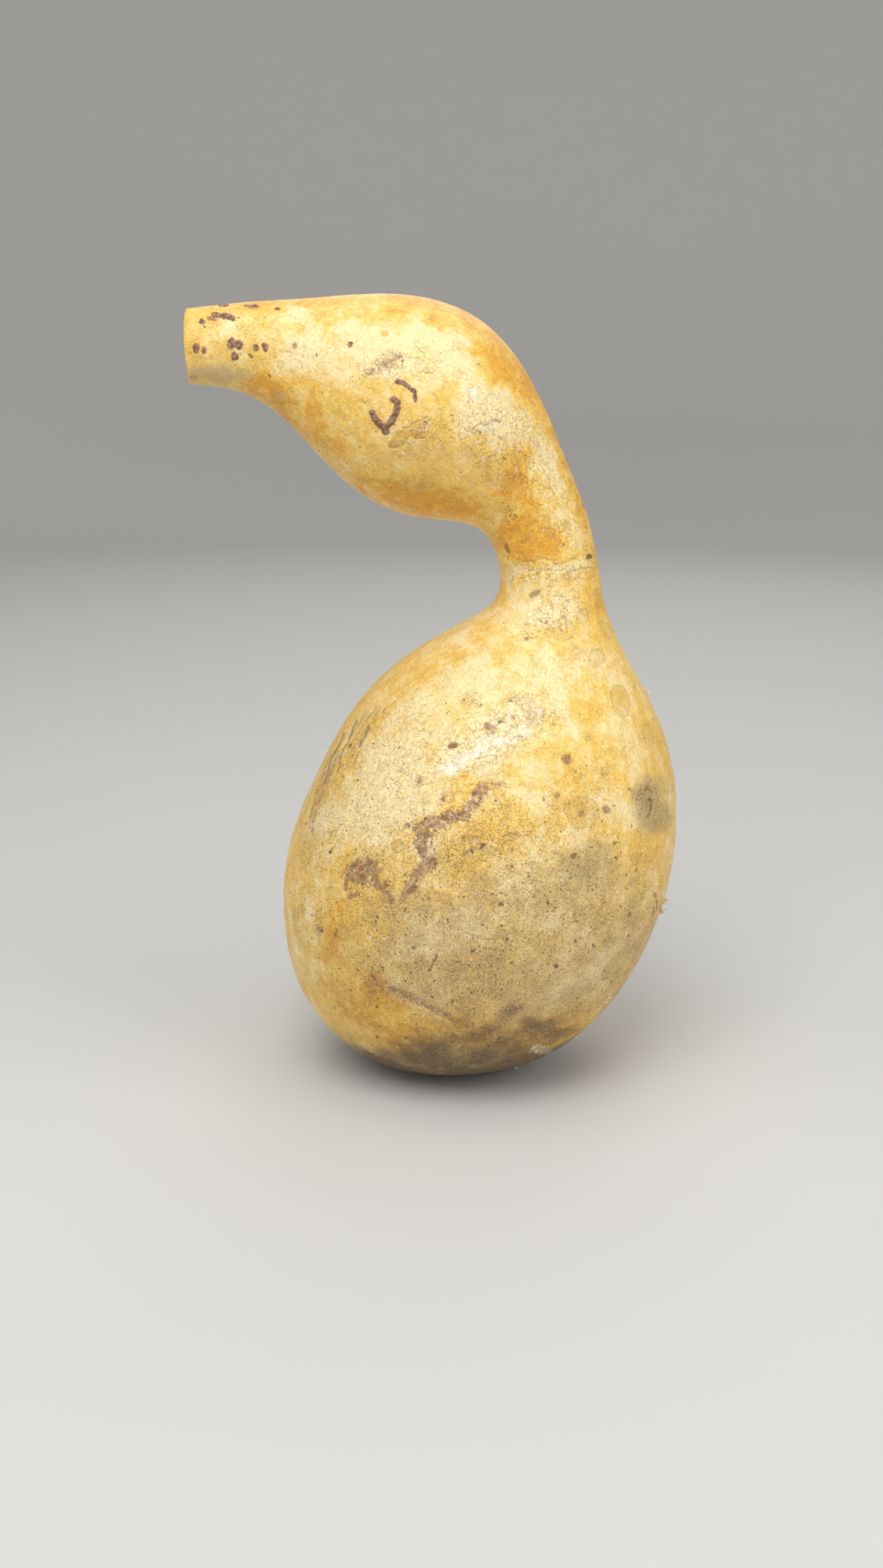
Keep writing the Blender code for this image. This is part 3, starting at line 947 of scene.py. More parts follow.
class Weave:
    """Adds nodes to one tree and joins them."""

    def __init__(self, tree: bpy.types.NodeTree) -> None:
        """Keep the tree that the nodes go into."""
        self.tree = tree

    def add(self, kind: str, inputs: dict | None = None, **settings: object) -> bpy.types.Node:
        """Add one node.

        Args:
            kind: The node's type name.
            inputs: What goes into its sockets, by name or number: a socket or a value.
            settings: Properties of the node itself.

        Returns:
            The new node.
        """
        node = self.tree.nodes.new(kind)
        for name, value in settings.items():
            setattr(node, name, value)
        for name, value in (inputs or {}).items():
            self.plug(node.inputs[name], value)
        return node

    def plug(self, socket: Socket, value: Value) -> None:
        """Join a socket to another, or set its value.

        Args:
            socket: The socket to set.
            value: Another socket, or a value.
        """
        if isinstance(value, bpy.types.NodeSocket):
            self.tree.links.new(value, socket)
        else:
            socket.default_value = value

    def math(self, operation: str, *values: Value, clamp: bool = False) -> Socket:
        """The result of a Math node on values or sockets."""
        inputs = dict(enumerate(values))
        return self.add("ShaderNodeMath", inputs, operation=operation, use_clamp=clamp).outputs[0]

    def times(self, first: Value, second: Value, clamp: bool = False) -> Socket:
        """The product of two values or sockets, kept from 0 to 1 if clamp is set."""
        return self.math("MULTIPLY", first, second, clamp=clamp)

    def most(self, first: Value, second: Value) -> Socket:
        """The greater of two values or sockets."""
        return self.math("MAXIMUM", first, second)

    def sway(self, value: Socket, by: Value) -> Socket:
        """A value from 0 to 1 turned to swing by that much round zero."""
        return self.times(self.math("SUBTRACT", value, 0.5), by)

    def total(self, *parts: Value) -> Socket:
        """The sum of several values or sockets."""
        return reduce(lambda found, part: self.math("ADD", found, part), parts)

    def step(self, value: Value, low: Value, high: Value, top: float = 1.0) -> Socket:
        """A smooth step of a value from 0 at low to top at high."""
        inputs = {"Value": value, "From Min": low, "From Max": high, "To Max": top}
        return self.add("ShaderNodeMapRange", inputs, interpolation_type="SMOOTHSTEP").outputs["Result"]

    def mix(self, share: Value, first: Value, second: Value, blend: str = "MIX") -> Socket:
        """Two colours mixed."""
        inputs = {0: share, 6: first, 7: second}
        return self.add("ShaderNodeMix", inputs, data_type="RGBA", blend_type=blend).outputs[2]

    def noise(self, at: Socket, size: float, detail: float = 3.0, roughness: float = 0.55) -> Socket:
        """A noise whose features are about size metres across, between 0 and 1."""
        inputs = {"Vector": at, "Scale": 1.0 / size, "Detail": detail, "Roughness": roughness}
        return self.add("ShaderNodeTexNoise", inputs).outputs["Fac"]

    def here(self) -> Socket:
        """The object's own coordinates."""
        return self.add("ShaderNodeTexCoord").outputs["Object"]

    def grain(self) -> Socket:
        """Coordinates that run with the grain of the fruit."""
        return self.add("ShaderNodeAttribute", attribute_name="grain").outputs["Vector"]

    def layer(self, name: str) -> Socket:
        """One of the mesh's own layers."""
        return self.add("ShaderNodeAttribute", attribute_name=name).outputs["Fac"]

    def named(self, name: str, kind: str) -> Socket:
        """One of the mesh's own layers, read in a geometry tree."""
        node = self.add("GeometryNodeInputNamedAttribute", {"Name": name}, data_type=kind)
        return node.outputs["Attribute"]

    def group(self, tree: bpy.types.NodeTree, inputs: dict[str, Value]) -> Outputs:
        """The outputs of a node group, given its named inputs."""
        return self.add("ShaderNodeGroup", inputs, node_tree=tree).outputs

    def bump(self, shader: bpy.types.Node, height: Socket, strength: float, depth: float) -> None:
        """Let a height feed a shader's normal through a Bump node."""
        node = self.add("ShaderNodeBump", {"Strength": strength, "Distance": depth, "Height": height})
        self.plug(shader.inputs["Normal"], node.outputs[0])


def new_group(name: str, kind: str, inputs: dict[str, tuple], outputs: dict[str, str]) -> Weave:
    """Start a node group.

    Args:
        name: The group's name.
        kind: The tree's type name.
        inputs: Each input's socket type and, where it has one, its default value.
        outputs: Each output's socket type.

    Returns:
        The weave of the new group's tree.
    """
    tree = bpy.data.node_groups.new(name, kind)
    for label, (socket_type, *default) in inputs.items():
        socket = tree.interface.new_socket(label, in_out="INPUT", socket_type=socket_type)
        if default:
            socket.default_value = default[0]
    for label, socket_type in outputs.items():
        tree.interface.new_socket(label, in_out="OUTPUT", socket_type=socket_type)
    return Weave(tree)


def mesh_piece(name: str, points: Sequence, faces: Sequence, smooth: bool = True) -> bpy.types.Object:
    """Make an object with a mesh of its own, and put it in the scene.

    Args:
        name: The name of both.
        points: The mesh's corners.
        faces: The corners' numbers, face by face.
        smooth: Whether the faces are shaded as one smooth surface.

    Returns:
        The object, without a material.
    """
    mesh = bpy.data.meshes.new(name)
    mesh.from_pydata(points, [], faces)
    mesh.polygons.foreach_set("use_smooth", np.full(len(faces), smooth))
    piece = bpy.data.objects.new(name, mesh)
    bpy.context.scene.collection.objects.link(piece)
    return piece


# The skin

class Zone(Enum):
    """The three surfaces of the shell, in the order of their material slots."""

    RIND = 0
    RIM = 1
    LINING = 2


class Band(NamedTuple):
    """A run of rows of the skin's grid."""

    name: str
    rows: int
    zone: Zone


FAR = 6.0
GRAIN_RADIUS = 60.0 * MM


@dataclass
class GourdSkin:
    """The whole shell as one closed mesh: the lining, the sawn rim and the rind.

    The mesh is a grid, rows along the gourd and columns round it, whose cells are split into 4 or
    16 where the rind has fine marks. The fine grid counts four steps to a cell's side.
    """

    form: GourdForm
    charts: tuple[Chart, Chart]
    pitch: float = 1.62 * MM
    columns: int = 208
    crowding: float = 0.42
    steps: int = 4
    lining_rows: int = 84
    cap_rows: int = 8
    cap_share: float = 0.1
    rim_round: float = 0.4 * MM
    rim_rows: int = 9
    saw_pitch: float = 2.6 * MM
    saw_depth: float = 0.07
    rim_inset: float = 0.15
    lining_start: float = 1.1
    wide_from: float = 44.0 * MM
    inset: float = 0.13
    crack_depth: float = 0.2
    crack_width: float = 0.35
    groove_depth: float = 0.5
    groove_width: float = 0.6
    flake_depth: float = 0.12
    flake_edge: float = 0.25
    lip_height: float = 0.06
    lip_place: float = 0.35
    lip_spread: float = 0.08
    ring_height: float = 0.05
    ring_spread: float = 0.12
    pore_depth: float = 0.05
    pore_sizes: tuple[float, float] = (1.9 * MM, 2.7 * MM)
    chalk_height: float = 0.05
    spot_height: float = 0.08
    split_gap: tuple[float, float] = (9.0, 3.6)
    mark_gap: float = 5.0
    grazing: float = 0.05
    blend: tuple[float, float] = (-0.4, -0.02)
    front_from: float = -0.12
    least_slant: float = 0.12
    warps: tuple[float, float] = (4.0, 1.3)
    places_along: int = 1600
    places_round: int = 16
    turn_places: int = 2000
    cap_core: int = 3
    lining_front: float = 0.72
    fray_rows: tuple[int, int] = (34, 10)
    bare_rows: float = 30.0
    bare_foot: tuple[float, float] = (4 * MM, 12 * MM)
    # Painted shade round the foot: none above the first height, full below the second, its edge rippled
    # by the next pair
    foot_shade: tuple[float, float] = (34 * MM, 6 * MM)
    foot_shade_ripple: tuple[float, float] = (4 * MM, 34 * MM)
    clump_size: float = 9 * MM
    places: Points = field(default_factory=lambda: np.zeros(0))
    lengths: Points = field(default_factory=lambda: np.zeros(0))
    bands: dict[str, tuple[int, int]] = field(default_factory=dict)

    # The grid

    def even_places(self) -> tuple[Points, Points]:
        """The rind's length from the mouth, at places along it.

        Returns:
            The places, and the length up to each.
        """
        along = np.linspace(self.form.mouth, self.form.last, self.places_along)
        rings = [
            self.form.outer(along, np.full(len(along), turn))
            for turn in np.linspace(0.0, 2 * math.pi, self.places_round, endpoint=False)
        ]
        moves = np.mean([np.linalg.norm(np.diff(ring, axis=0), axis=1) for ring in rings], axis=0)
        return along, np.concatenate([[0.0], np.cumsum(moves)])

    def lay_bands(self) -> list[Band]:
        """The rows from the middle of the lining's floor, out through the mouth, to the foot.

        Returns:
            The bands in order.
        """
        self.places, self.lengths = self.even_places()
        rind_rows = round((self.lengths[-1] - self.rim_round) / self.pitch)
        bands = [
            Band("lining floor", self.cap_rows, Zone.LINING),
            Band("lining", self.lining_rows, Zone.LINING),
            Band("rim", self.rim_rows, Zone.RIM),
            Band("rind", rind_rows, Zone.RIND),
            Band("foot", self.cap_rows, Zone.RIND),
        ]
        start = 0
        for band in bands:
            self.bands[band.name] = (start, start + band.rows * self.steps)
            start += band.rows * self.steps
        return bands

    def turns(self, fine_column: Points) -> Points:
        """The angle of each fine column: they crowd together on the side that the photo shows.

        Args:
            fine_column: The columns.

        Returns:
            Their angles.
        """
        table = np.linspace(0.0, 2 * math.pi, self.turn_places)
        shares = (table - self.crowding * np.sin(table)) / (2 * math.pi)
        share = fine_column / (self.columns * self.steps)
        return np.interp(share, shares, table) + math.pi / 2

    def rind_place(self, fine_row: Points) -> Points:
        """Where along the gourd each fine row of the rind lies.

        Args:
            fine_row: The rows.

        Returns:
            Their places along the gourd.
        """
        first, last = self.bands["rind"]
        share = (fine_row - first) / (last - first)
        length = self.rim_round + share * (self.lengths[-1] - self.rim_round)
        return np.interp(length, self.lengths, self.places)

    def rim_points(self, share: Points, turn: Points) -> Points:
        """Points across the sawn rim, from the lining's edge (0) to the rind's (1).

        Args:
            share: How far across each point lies.
            turn: Each point's angle round the gourd.

        Returns:
            The points.
        """
        centre = self.form.mouth_centre()
        edge = self.form.outer(np.full(len(turn), self.form.mouth), turn) - centre
        radius = np.linalg.norm(edge, axis=1)
        across = self.form.wall * (1.0 - share)
        near = np.minimum(across, self.form.wall - across)
        bevel = np.clip(1.0 - near / self.rim_round, 0.0, 1.0)
        sink = self.rim_round * (1.0 - np.sqrt(1.0 - bevel**2 * 0.96))
        teeth = Ripple(31, self.saw_pitch).at(edge * (1.0, 1.0, 0.25))
        saw = teeth * self.saw_depth * MM * (1.0 - bevel)
        inset = self.rim_inset * MM * (1.0 - bevel)
        flat = centre + edge * ((radius - across) / radius)[:, None]
        return flat - self.form.mouth_axis() * (sink + np.abs(saw) + inset)[:, None]

    def rim_share(self, rows: Points) -> Points:
        """How far across the sawn rim each row lies, from the lining (0) to the rind (1)."""
        first, last = self.bands["rim"]
        return np.clip((rows - first) / (last - first), 0.0, 1.0)

    def place(self, rows: Points, turn: Points) -> Points:
        """Where each point of the fine grid lies, before any relief.

        Args:
            rows: Each point's row.
            turn: Each point's angle round the gourd.

        Returns:
            The points, in metres.
        """
        found = np.zeros((len(rows), 3))
        for name, (first, last) in self.bands.items():
            share = (rows - first) / (last - first)
            here = (rows >= first) & (rows <= last)
            if name == "lining":
                span = self.form.last - self.lining_start
                along = self.form.last - share[here] * span
                found[here] = self.form.inner(along, turn[here])
            elif name == "rim":
                found[here] = self.rim_points(share[here], turn[here])
            elif name == "rind":
                found[here] = self.form.outer(self.rind_place(rows[here]), turn[here])
            else:
                bottom = np.full(here.sum(), self.form.last)
                if name == "foot":
                    ring, reach = self.form.outer(bottom, turn[here]), 1.0 - share[here]
                    middle = np.zeros(3)
                else:
                    ring, reach = self.form.inner(bottom, turn[here]), share[here]
                    middle = np.array([0.0, 0.0, self.form.wall])
                reach = self.cap_share + (1.0 - self.cap_share) * reach
                found[here] = middle + (ring - middle) * reach[:, None]
        return found

    def split_levels(self, rows: Points, columns: Points) -> Points:
        """How often each cell of the rind is halved: twice on fine marks, once near them.

        Args:
            rows: The middle row of each cell.
            columns: Its middle column.

        Returns:
            0, 1 or 2 for each cell.
        """
        turn = self.turns(columns)
        along = self.rind_place(rows)
        points = self.form.outer(along, turn)
        normals = self.form.outward(along, turn)
        levels = np.zeros(len(rows), int)
        for chart in self.charts:
            at = chart.view.pixels(points)
            shown = chart.view.facing(points, normals) > self.grazing
            for edge in Edge:
                gap = np.abs(chart.edge(edge, at))
                near, far = (0.0, self.mark_gap) if edge in FILLED else self.split_gap[::-1]
                if chart.view.azimuth:
                    near, far = 0.0, near
                levels = np.where(shown & (gap < far), np.maximum(levels, 1), levels)
                levels = np.where(shown & (gap < near), 2, levels)
        return levels

    def cells(self, bands: list[Band]) -> Points:
        """Every cell of the grid as first row, first column, rows, columns and zone.

        Args:
            bands: The bands in order.

        Returns:
            One row for each cell.
        """
        fine_columns = self.columns * self.steps
        made = []
        for band in bands:
            first, _ = self.bands[band.name]
            for row in range(band.rows):
                top = first + row * self.steps
                count = self.count_round(band, row, top)
                wide = fine_columns // count
                starts = np.arange(count) * wide
                levels = np.zeros(count, int)
                if band.name == "rind":
                    middle = np.full(count, top + self.steps / 2)
                    levels = self.split_levels(middle, starts + wide / 2)
                for level in range(3):
                    parts = 1 << level
                    tall, narrow = self.steps // parts, wide // parts
                    picked = starts[levels == level]
                    for i in range(parts):
                        for j in range(parts):
                            rows = np.full(len(picked), top + i * tall)
                            size = np.full((len(picked), 3), (tall, narrow, band.zone.value))
                            corner = np.stack([rows, picked + j * narrow], axis=1)
                            made.append(np.hstack([corner, size]))
        return np.concatenate(made).astype(int)

    def count_round(self, band: Band, row: int, top: int) -> int:
        """How many cells a row has: fewer where the gourd is narrow and on the hidden lining.

        Args:
            band: The row's band.
            row: Its number in the band.
            top: Its first fine row.

        Returns:
            The number of cells.
        """
        if band.name in ("foot", "lining floor"):
            reach = row if band.name == "lining floor" else band.rows - 1 - row
            return self.columns // (8 if reach < self.cap_core else 4)
        if band.name == "lining":
            return self.columns // (2 if row > self.lining_rows * self.lining_front else 4)
        if band.name == "rim":
            return self.columns // 2
        place = self.rind_place(np.array([float(top)]))
        half_width = self.form.slices(place)[0, 2]
        return self.columns // (1 if half_width > self.wide_from else 2)

    def faces(self, cells: Points) -> tuple[Points, list[list[int]], Points]:
        """Join the cells into one mesh without gaps, also where their sizes differ.

        Args:
            cells: The grid's cells.

        Returns:
            The fine row and column of each vertex, the faces, and each face's zone.
        """
        fine_columns = self.columns * self.steps
        last_row = self.bands["foot"][1]
        used = np.zeros((last_row + 1, fine_columns), bool)
        top, left, tall, wide, _ = cells.T
        for down in (0, 1):
            for aside in (0, 1):
                used[top + down * tall, (left + aside * wide) % fine_columns] = True
        number = np.full(used.shape, -1)
        where = np.argwhere(used)
        number[used] = np.arange(len(where))
        faces, zones = [], []
        for size in np.unique(cells[:, 2:4], axis=0):
            picked = cells[(tall == size[0]) & (wide == size[1])]
            high, broad = int(size[0]), int(size[1])
            border = (
                [(i, 0) for i in range(high)]
                + [(high, j) for j in range(broad)]
                + [(i, broad) for i in range(high, 0, -1)]
                + [(0, j) for j in range(broad, 0, -1)]
            )
            steps = np.array(border)
            rows = picked[:, :1] + steps[:, 0]
            columns = (picked[:, 1:2] + steps[:, 1]) % fine_columns
            found = number[rows, columns]
            faces += [[int(v) for v in ring if v >= 0] for ring in found]
            zones.append(picked[:, 4])
        ends = ((0, 1, Zone.LINING), (last_row, -1, Zone.RIND))
        for row, order, cap_zone in ends:
            faces.append([int(v) for v in number[row][number[row] >= 0][::order]])
            zones.append(np.array([cap_zone.value]))
        return where, faces, np.concatenate(zones)

    # The marks and the relief

    def layers(self, points: Points, normals: Points, rind: Points) -> dict[str, Points]:
        """Every mark's layer at every vertex: stains from 0 to 1, and edges in millimetres.

        Args:
            points: The points, in metres.
            normals: The surface's directions there.
            rind: Which points are on the rind.

        Returns:
            The layers by name.
        """
        front = self.charts[0]
        facing = front.view.facing(points, normals)
        share = smooth_step(*self.blend, facing)
        pixel = front.view.distance / front.view.focal_pixels / MM
        found = {}
        looks = []
        for chart in self.charts:
            at = chart.view.pixels(points)
            slant = np.clip(np.abs(chart.view.facing(points, normals)), self.least_slant, 1.0)
            soft, sharp = (chart.warped(at, by) for by in self.warps)
            looks.append((chart, soft, sharp, 1.0 / np.sqrt(slant)))
        for tone in Tone:
            ahead, behind = (chart.tone(tone, soft) for chart, soft, _, _ in looks)
            found[tone.value] = np.where(rind, share * ahead + (1 - share) * behind, 0.0)
        for edge in Edge:
            ahead, behind = (
                chart.edge(edge, sharp) * squash * pixel for chart, _, sharp, squash in looks
            )
            nearest = np.where(facing > self.front_from, ahead, behind)
            found[edge.value] = np.where(rind, np.clip(nearest, -FAR, FAR), FAR)
        return found

    def relief(self, points: Points, layers: dict[str, Points]) -> Points:
        """How far the marks raise or sink the rind.

        Args:
            points: The points, in metres.
            layers: The marks' layers.

        Returns:
            The rise of each point, in metres.
        """
        crack = np.exp(-((np.maximum(layers["crack"], 0.0) / self.crack_width) ** 2))
        groove = np.exp(-((np.maximum(layers["groove"], 0.0) / self.groove_width) ** 2))
        flake = smooth_step(self.flake_edge, -self.flake_edge, layers["peel"])
        flake *= np.abs(layers["peel"]) < FAR
        lip = np.exp(-((layers["peel"] - self.lip_place) ** 2) / self.lip_spread)
        ring = np.exp(-(layers["ring"] ** 2) / self.ring_spread)
        small, large = self.pore_sizes
        pits = Ripple(41, small).at(points) * Ripple(42, large).at(points)
        pores = layers["specks"] * np.minimum(pits, 0.0) * self.pore_depth
        chalk = layers["chalk"] * self.chalk_height
        spot = smooth_step(0.3, -0.4, layers["spot"]) * self.spot_height
        raised = self.lip_height * lip + self.ring_height * ring + pores + chalk + spot
        sunk = raised - self.crack_depth * crack - self.groove_depth * groove - self.flake_depth * flake
        return MM * (sunk - self.inset)

    def build(self) -> bpy.types.Object:
        """Build the mesh with its layers and relief.

        Returns:
            The skin's object, with no materials yet.
        """
        bands = self.lay_bands()
        where, faces, zones = self.faces(self.cells(bands))
        rows, turn = where[:, 0].astype(float), self.turns(where[:, 1].astype(float))
        points = self.place(rows, turn)
        first, last = self.bands["rind"]
        rind = rows >= first
        along = self.rind_place(np.clip(rows, first, last))
        normals = self.form.outward(along, turn)
        layers = self.layers(points, normals, rind)
        moved = np.where(rind, self.relief(points, layers), 0.0)
        points = points + normals * moved[:, None]
        points[:, 2] = np.maximum(points[:, 2], 0.0)
        # Painted shade: the rind darkens towards the foot, and the soil layer carries it
        swell, wavelength = self.foot_shade_ripple
        height = points[:, 2] + swell * Ripple(51, wavelength).at(points)
        foot = np.where(rind, smooth_step(*self.foot_shade, height), 0.0)
        layers["soil"] = np.maximum(layers["soil"], foot)
        layers["rind_share"] = self.rim_share(rows)
        start, end = self.fray_rows
        layers["fray"] = np.where((rows > first - start) & (rows < first - end), 1.0, 0.0)
        inward = smooth_step(0.0, self.bare_rows, rows - first)
        layers["skin"] = inward * smooth_step(*self.bare_foot, points[:, 2])
        # The crumbs follow the specks and the soil layer, so they also thicken in the painted shade
        # round the foot
        clumps = smooth_step(-0.2, 0.9, Ripple(52, self.clump_size).at(points))
        dirt = np.maximum(layers["specks"], layers["soil"])
        layers["crumbs"] = layers["skin"] * dirt * (0.25 + clumps)
        skin = mesh_piece("gourd_skin", points.tolist(), faces)
        self.store(skin.data, layers, along, turn, zones)
        skin.data.update()
        return skin

    def store(
        self,
        mesh: bpy.types.Mesh,
        layers: dict[str, Points],
        along: Points,
        turn: Points,
        zones: Points,
    ) -> None:
        """Write the layers, the grain's coordinates and the zones into the mesh.

        Args:
            mesh: The skin's mesh.
            layers: The marks' layers.
            along: Each point's place along the gourd.
            turn: Each point's angle round the gourd.
            zones: Each face's zone.
        """
        for name, values in layers.items():
            layer = mesh.attributes.new(name, "FLOAT", "POINT")
            layer.data.foreach_set("value", values.astype(np.float32))
        length = np.interp(along, self.places, self.lengths)
        grain = np.stack([np.cos(turn) * GRAIN_RADIUS, np.sin(turn) * GRAIN_RADIUS, length], axis=1)
        layer = mesh.attributes.new("grain", "FLOAT_VECTOR", "POINT")
        layer.data.foreach_set("vector", grain.astype(np.float32).ravel())
        layer = mesh.attributes.new("zone", "INT", "FACE")
        layer.data.foreach_set("value", zones.astype(np.int32))


# Shader groups that several finishes use

def tint(red: float, green: float, blue: float) -> Colour:
    """A linear colour with full alpha."""
    return (red, green, blue, 1.0)


def mottle_group() -> bpy.types.NodeTree:
    """Uneven tone at three sizes, as dried plant skin has it.

    Returns:
        The group's tree.
    """
    weave = new_group(
        "mottle",
        "ShaderNodeTree",
        {"Vector": ("NodeSocketVector",), "Size": ("NodeSocketFloat", 0.03)},
        {"Broad": "NodeSocketFloat", "Middle": "NodeSocketFloat", "Fine": "NodeSocketFloat"},
    )
    given = weave.add("NodeGroupInput")
    made = weave.add("NodeGroupOutput")
    scale = weave.math("DIVIDE", 1.0, given.outputs["Size"])
    for name, finer, detail in (("Broad", 1.0, 2.0), ("Middle", 4.2, 4.0), ("Fine", 19.0, 3.0)):
        inputs = {
            "Vector": given.outputs["Vector"],
            "Scale": weave.times(scale, finer),
            "Detail": detail,
            "Roughness": 0.6,
        }
        noise = weave.add("ShaderNodeTexNoise", inputs)
        weave.plug(made.inputs[name], weave.step(noise.outputs["Fac"], 0.25, 0.75))
    return weave.tree


def specks_group() -> bpy.types.NodeTree:
    """Scattered irregular dots: Density sets how many of the cells hold one.

    Returns:
        The group's tree.
    """
    weave = new_group(
        "specks",
        "ShaderNodeTree",
        {
            "Vector": ("NodeSocketVector",),
            "Size": ("NodeSocketFloat", 0.0015),
            "Density": ("NodeSocketFloat", 0.5),
        },
        {"Mask": "NodeSocketFloat"},
    )
    given = weave.add("NodeGroupInput")
    made = weave.add("NodeGroupOutput")
    scale = weave.math("DIVIDE", 1.0, given.outputs["Size"])
    wobble = weave.add(
        "ShaderNodeTexNoise",
        {"Vector": given.outputs["Vector"], "Scale": weave.times(scale, 1.7), "Detail": 2.0},
    )
    shift = weave.add(
        "ShaderNodeVectorMath",
        {0: wobble.outputs["Color"], 1: given.outputs["Size"]},
        operation="MULTIPLY",
    )
    moved = weave.add(
        "ShaderNodeVectorMath", {0: given.outputs["Vector"], 1: shift.outputs[0]}, operation="ADD"
    )
    cell = weave.add("ShaderNodeTexVoronoi", {"Vector": moved.outputs[0], "Scale": scale})
    channel = weave.add("ShaderNodeSeparateColor", {"Color": cell.outputs["Color"]})
    held = weave.math("LESS_THAN", channel.outputs["Red"], given.outputs["Density"])
    reach = weave.math("MULTIPLY_ADD", channel.outputs["Green"], 0.22, 0.12)
    inner = weave.times(reach, 0.55)
    dot = weave.step(cell.outputs["Distance"], reach, inner)
    weave.plug(made.inputs["Mask"], weave.times(dot, held))
    return weave.tree


def streaks_group() -> bpy.types.NodeTree:
    """Fine lines that run with the grain of the fruit, from stem to foot.

    Returns:
        The group's tree.
    """
    weave = new_group(
        "streaks",
        "ShaderNodeTree",
        {"Grain": ("NodeSocketVector",), "Size": ("NodeSocketFloat", 0.0012)},
        {"Streak": "NodeSocketFloat"},
    )
    given = weave.add("NodeGroupInput")
    made = weave.add("NodeGroupOutput")
    scale = weave.math("DIVIDE", 1.0, given.outputs["Size"])
    drawn = weave.add("ShaderNodeMapping", {"Vector": given.outputs["Grain"], "Scale": (1.0, 1.0, 0.07)})
    inputs = {"Vector": drawn.outputs[0], "Scale": scale, "Detail": 3.0, "Roughness": 0.6}
    noise = weave.add("ShaderNodeTexNoise", inputs)
    weave.plug(made.inputs["Streak"], noise.outputs["Fac"])
    return weave.tree


@dataclass
class Grounds:
    """The shader groups, made once and lent to every finish."""

    mottle: bpy.types.NodeTree = field(default_factory=mottle_group)
    specks: bpy.types.NodeTree = field(default_factory=specks_group)
    streaks: bpy.types.NodeTree = field(default_factory=streaks_group)


COAT_ROUGHNESS = 0.32


def new_finish(
    name: str, roughness: float, coat: float = 0.0
) -> tuple[bpy.types.Material, Weave, bpy.types.Node]:
    """Start a material.

    Args:
        name: The material's name.
        roughness: The roughness where nothing changes it.
        coat: The weight of the waxy coat.

    Returns:
        The material, its weave and its Principled shader.
    """
    material = bpy.data.materials.new(name)
    material.use_nodes = True
    weave = Weave(material.node_tree)
    shader = material.node_tree.nodes["Principled BSDF"]
    shader.inputs["Roughness"].default_value = roughness
    shader.inputs["Coat Weight"].default_value = coat
    shader.inputs["Coat Roughness"].default_value = COAT_ROUGHNESS
    return material, weave, shader


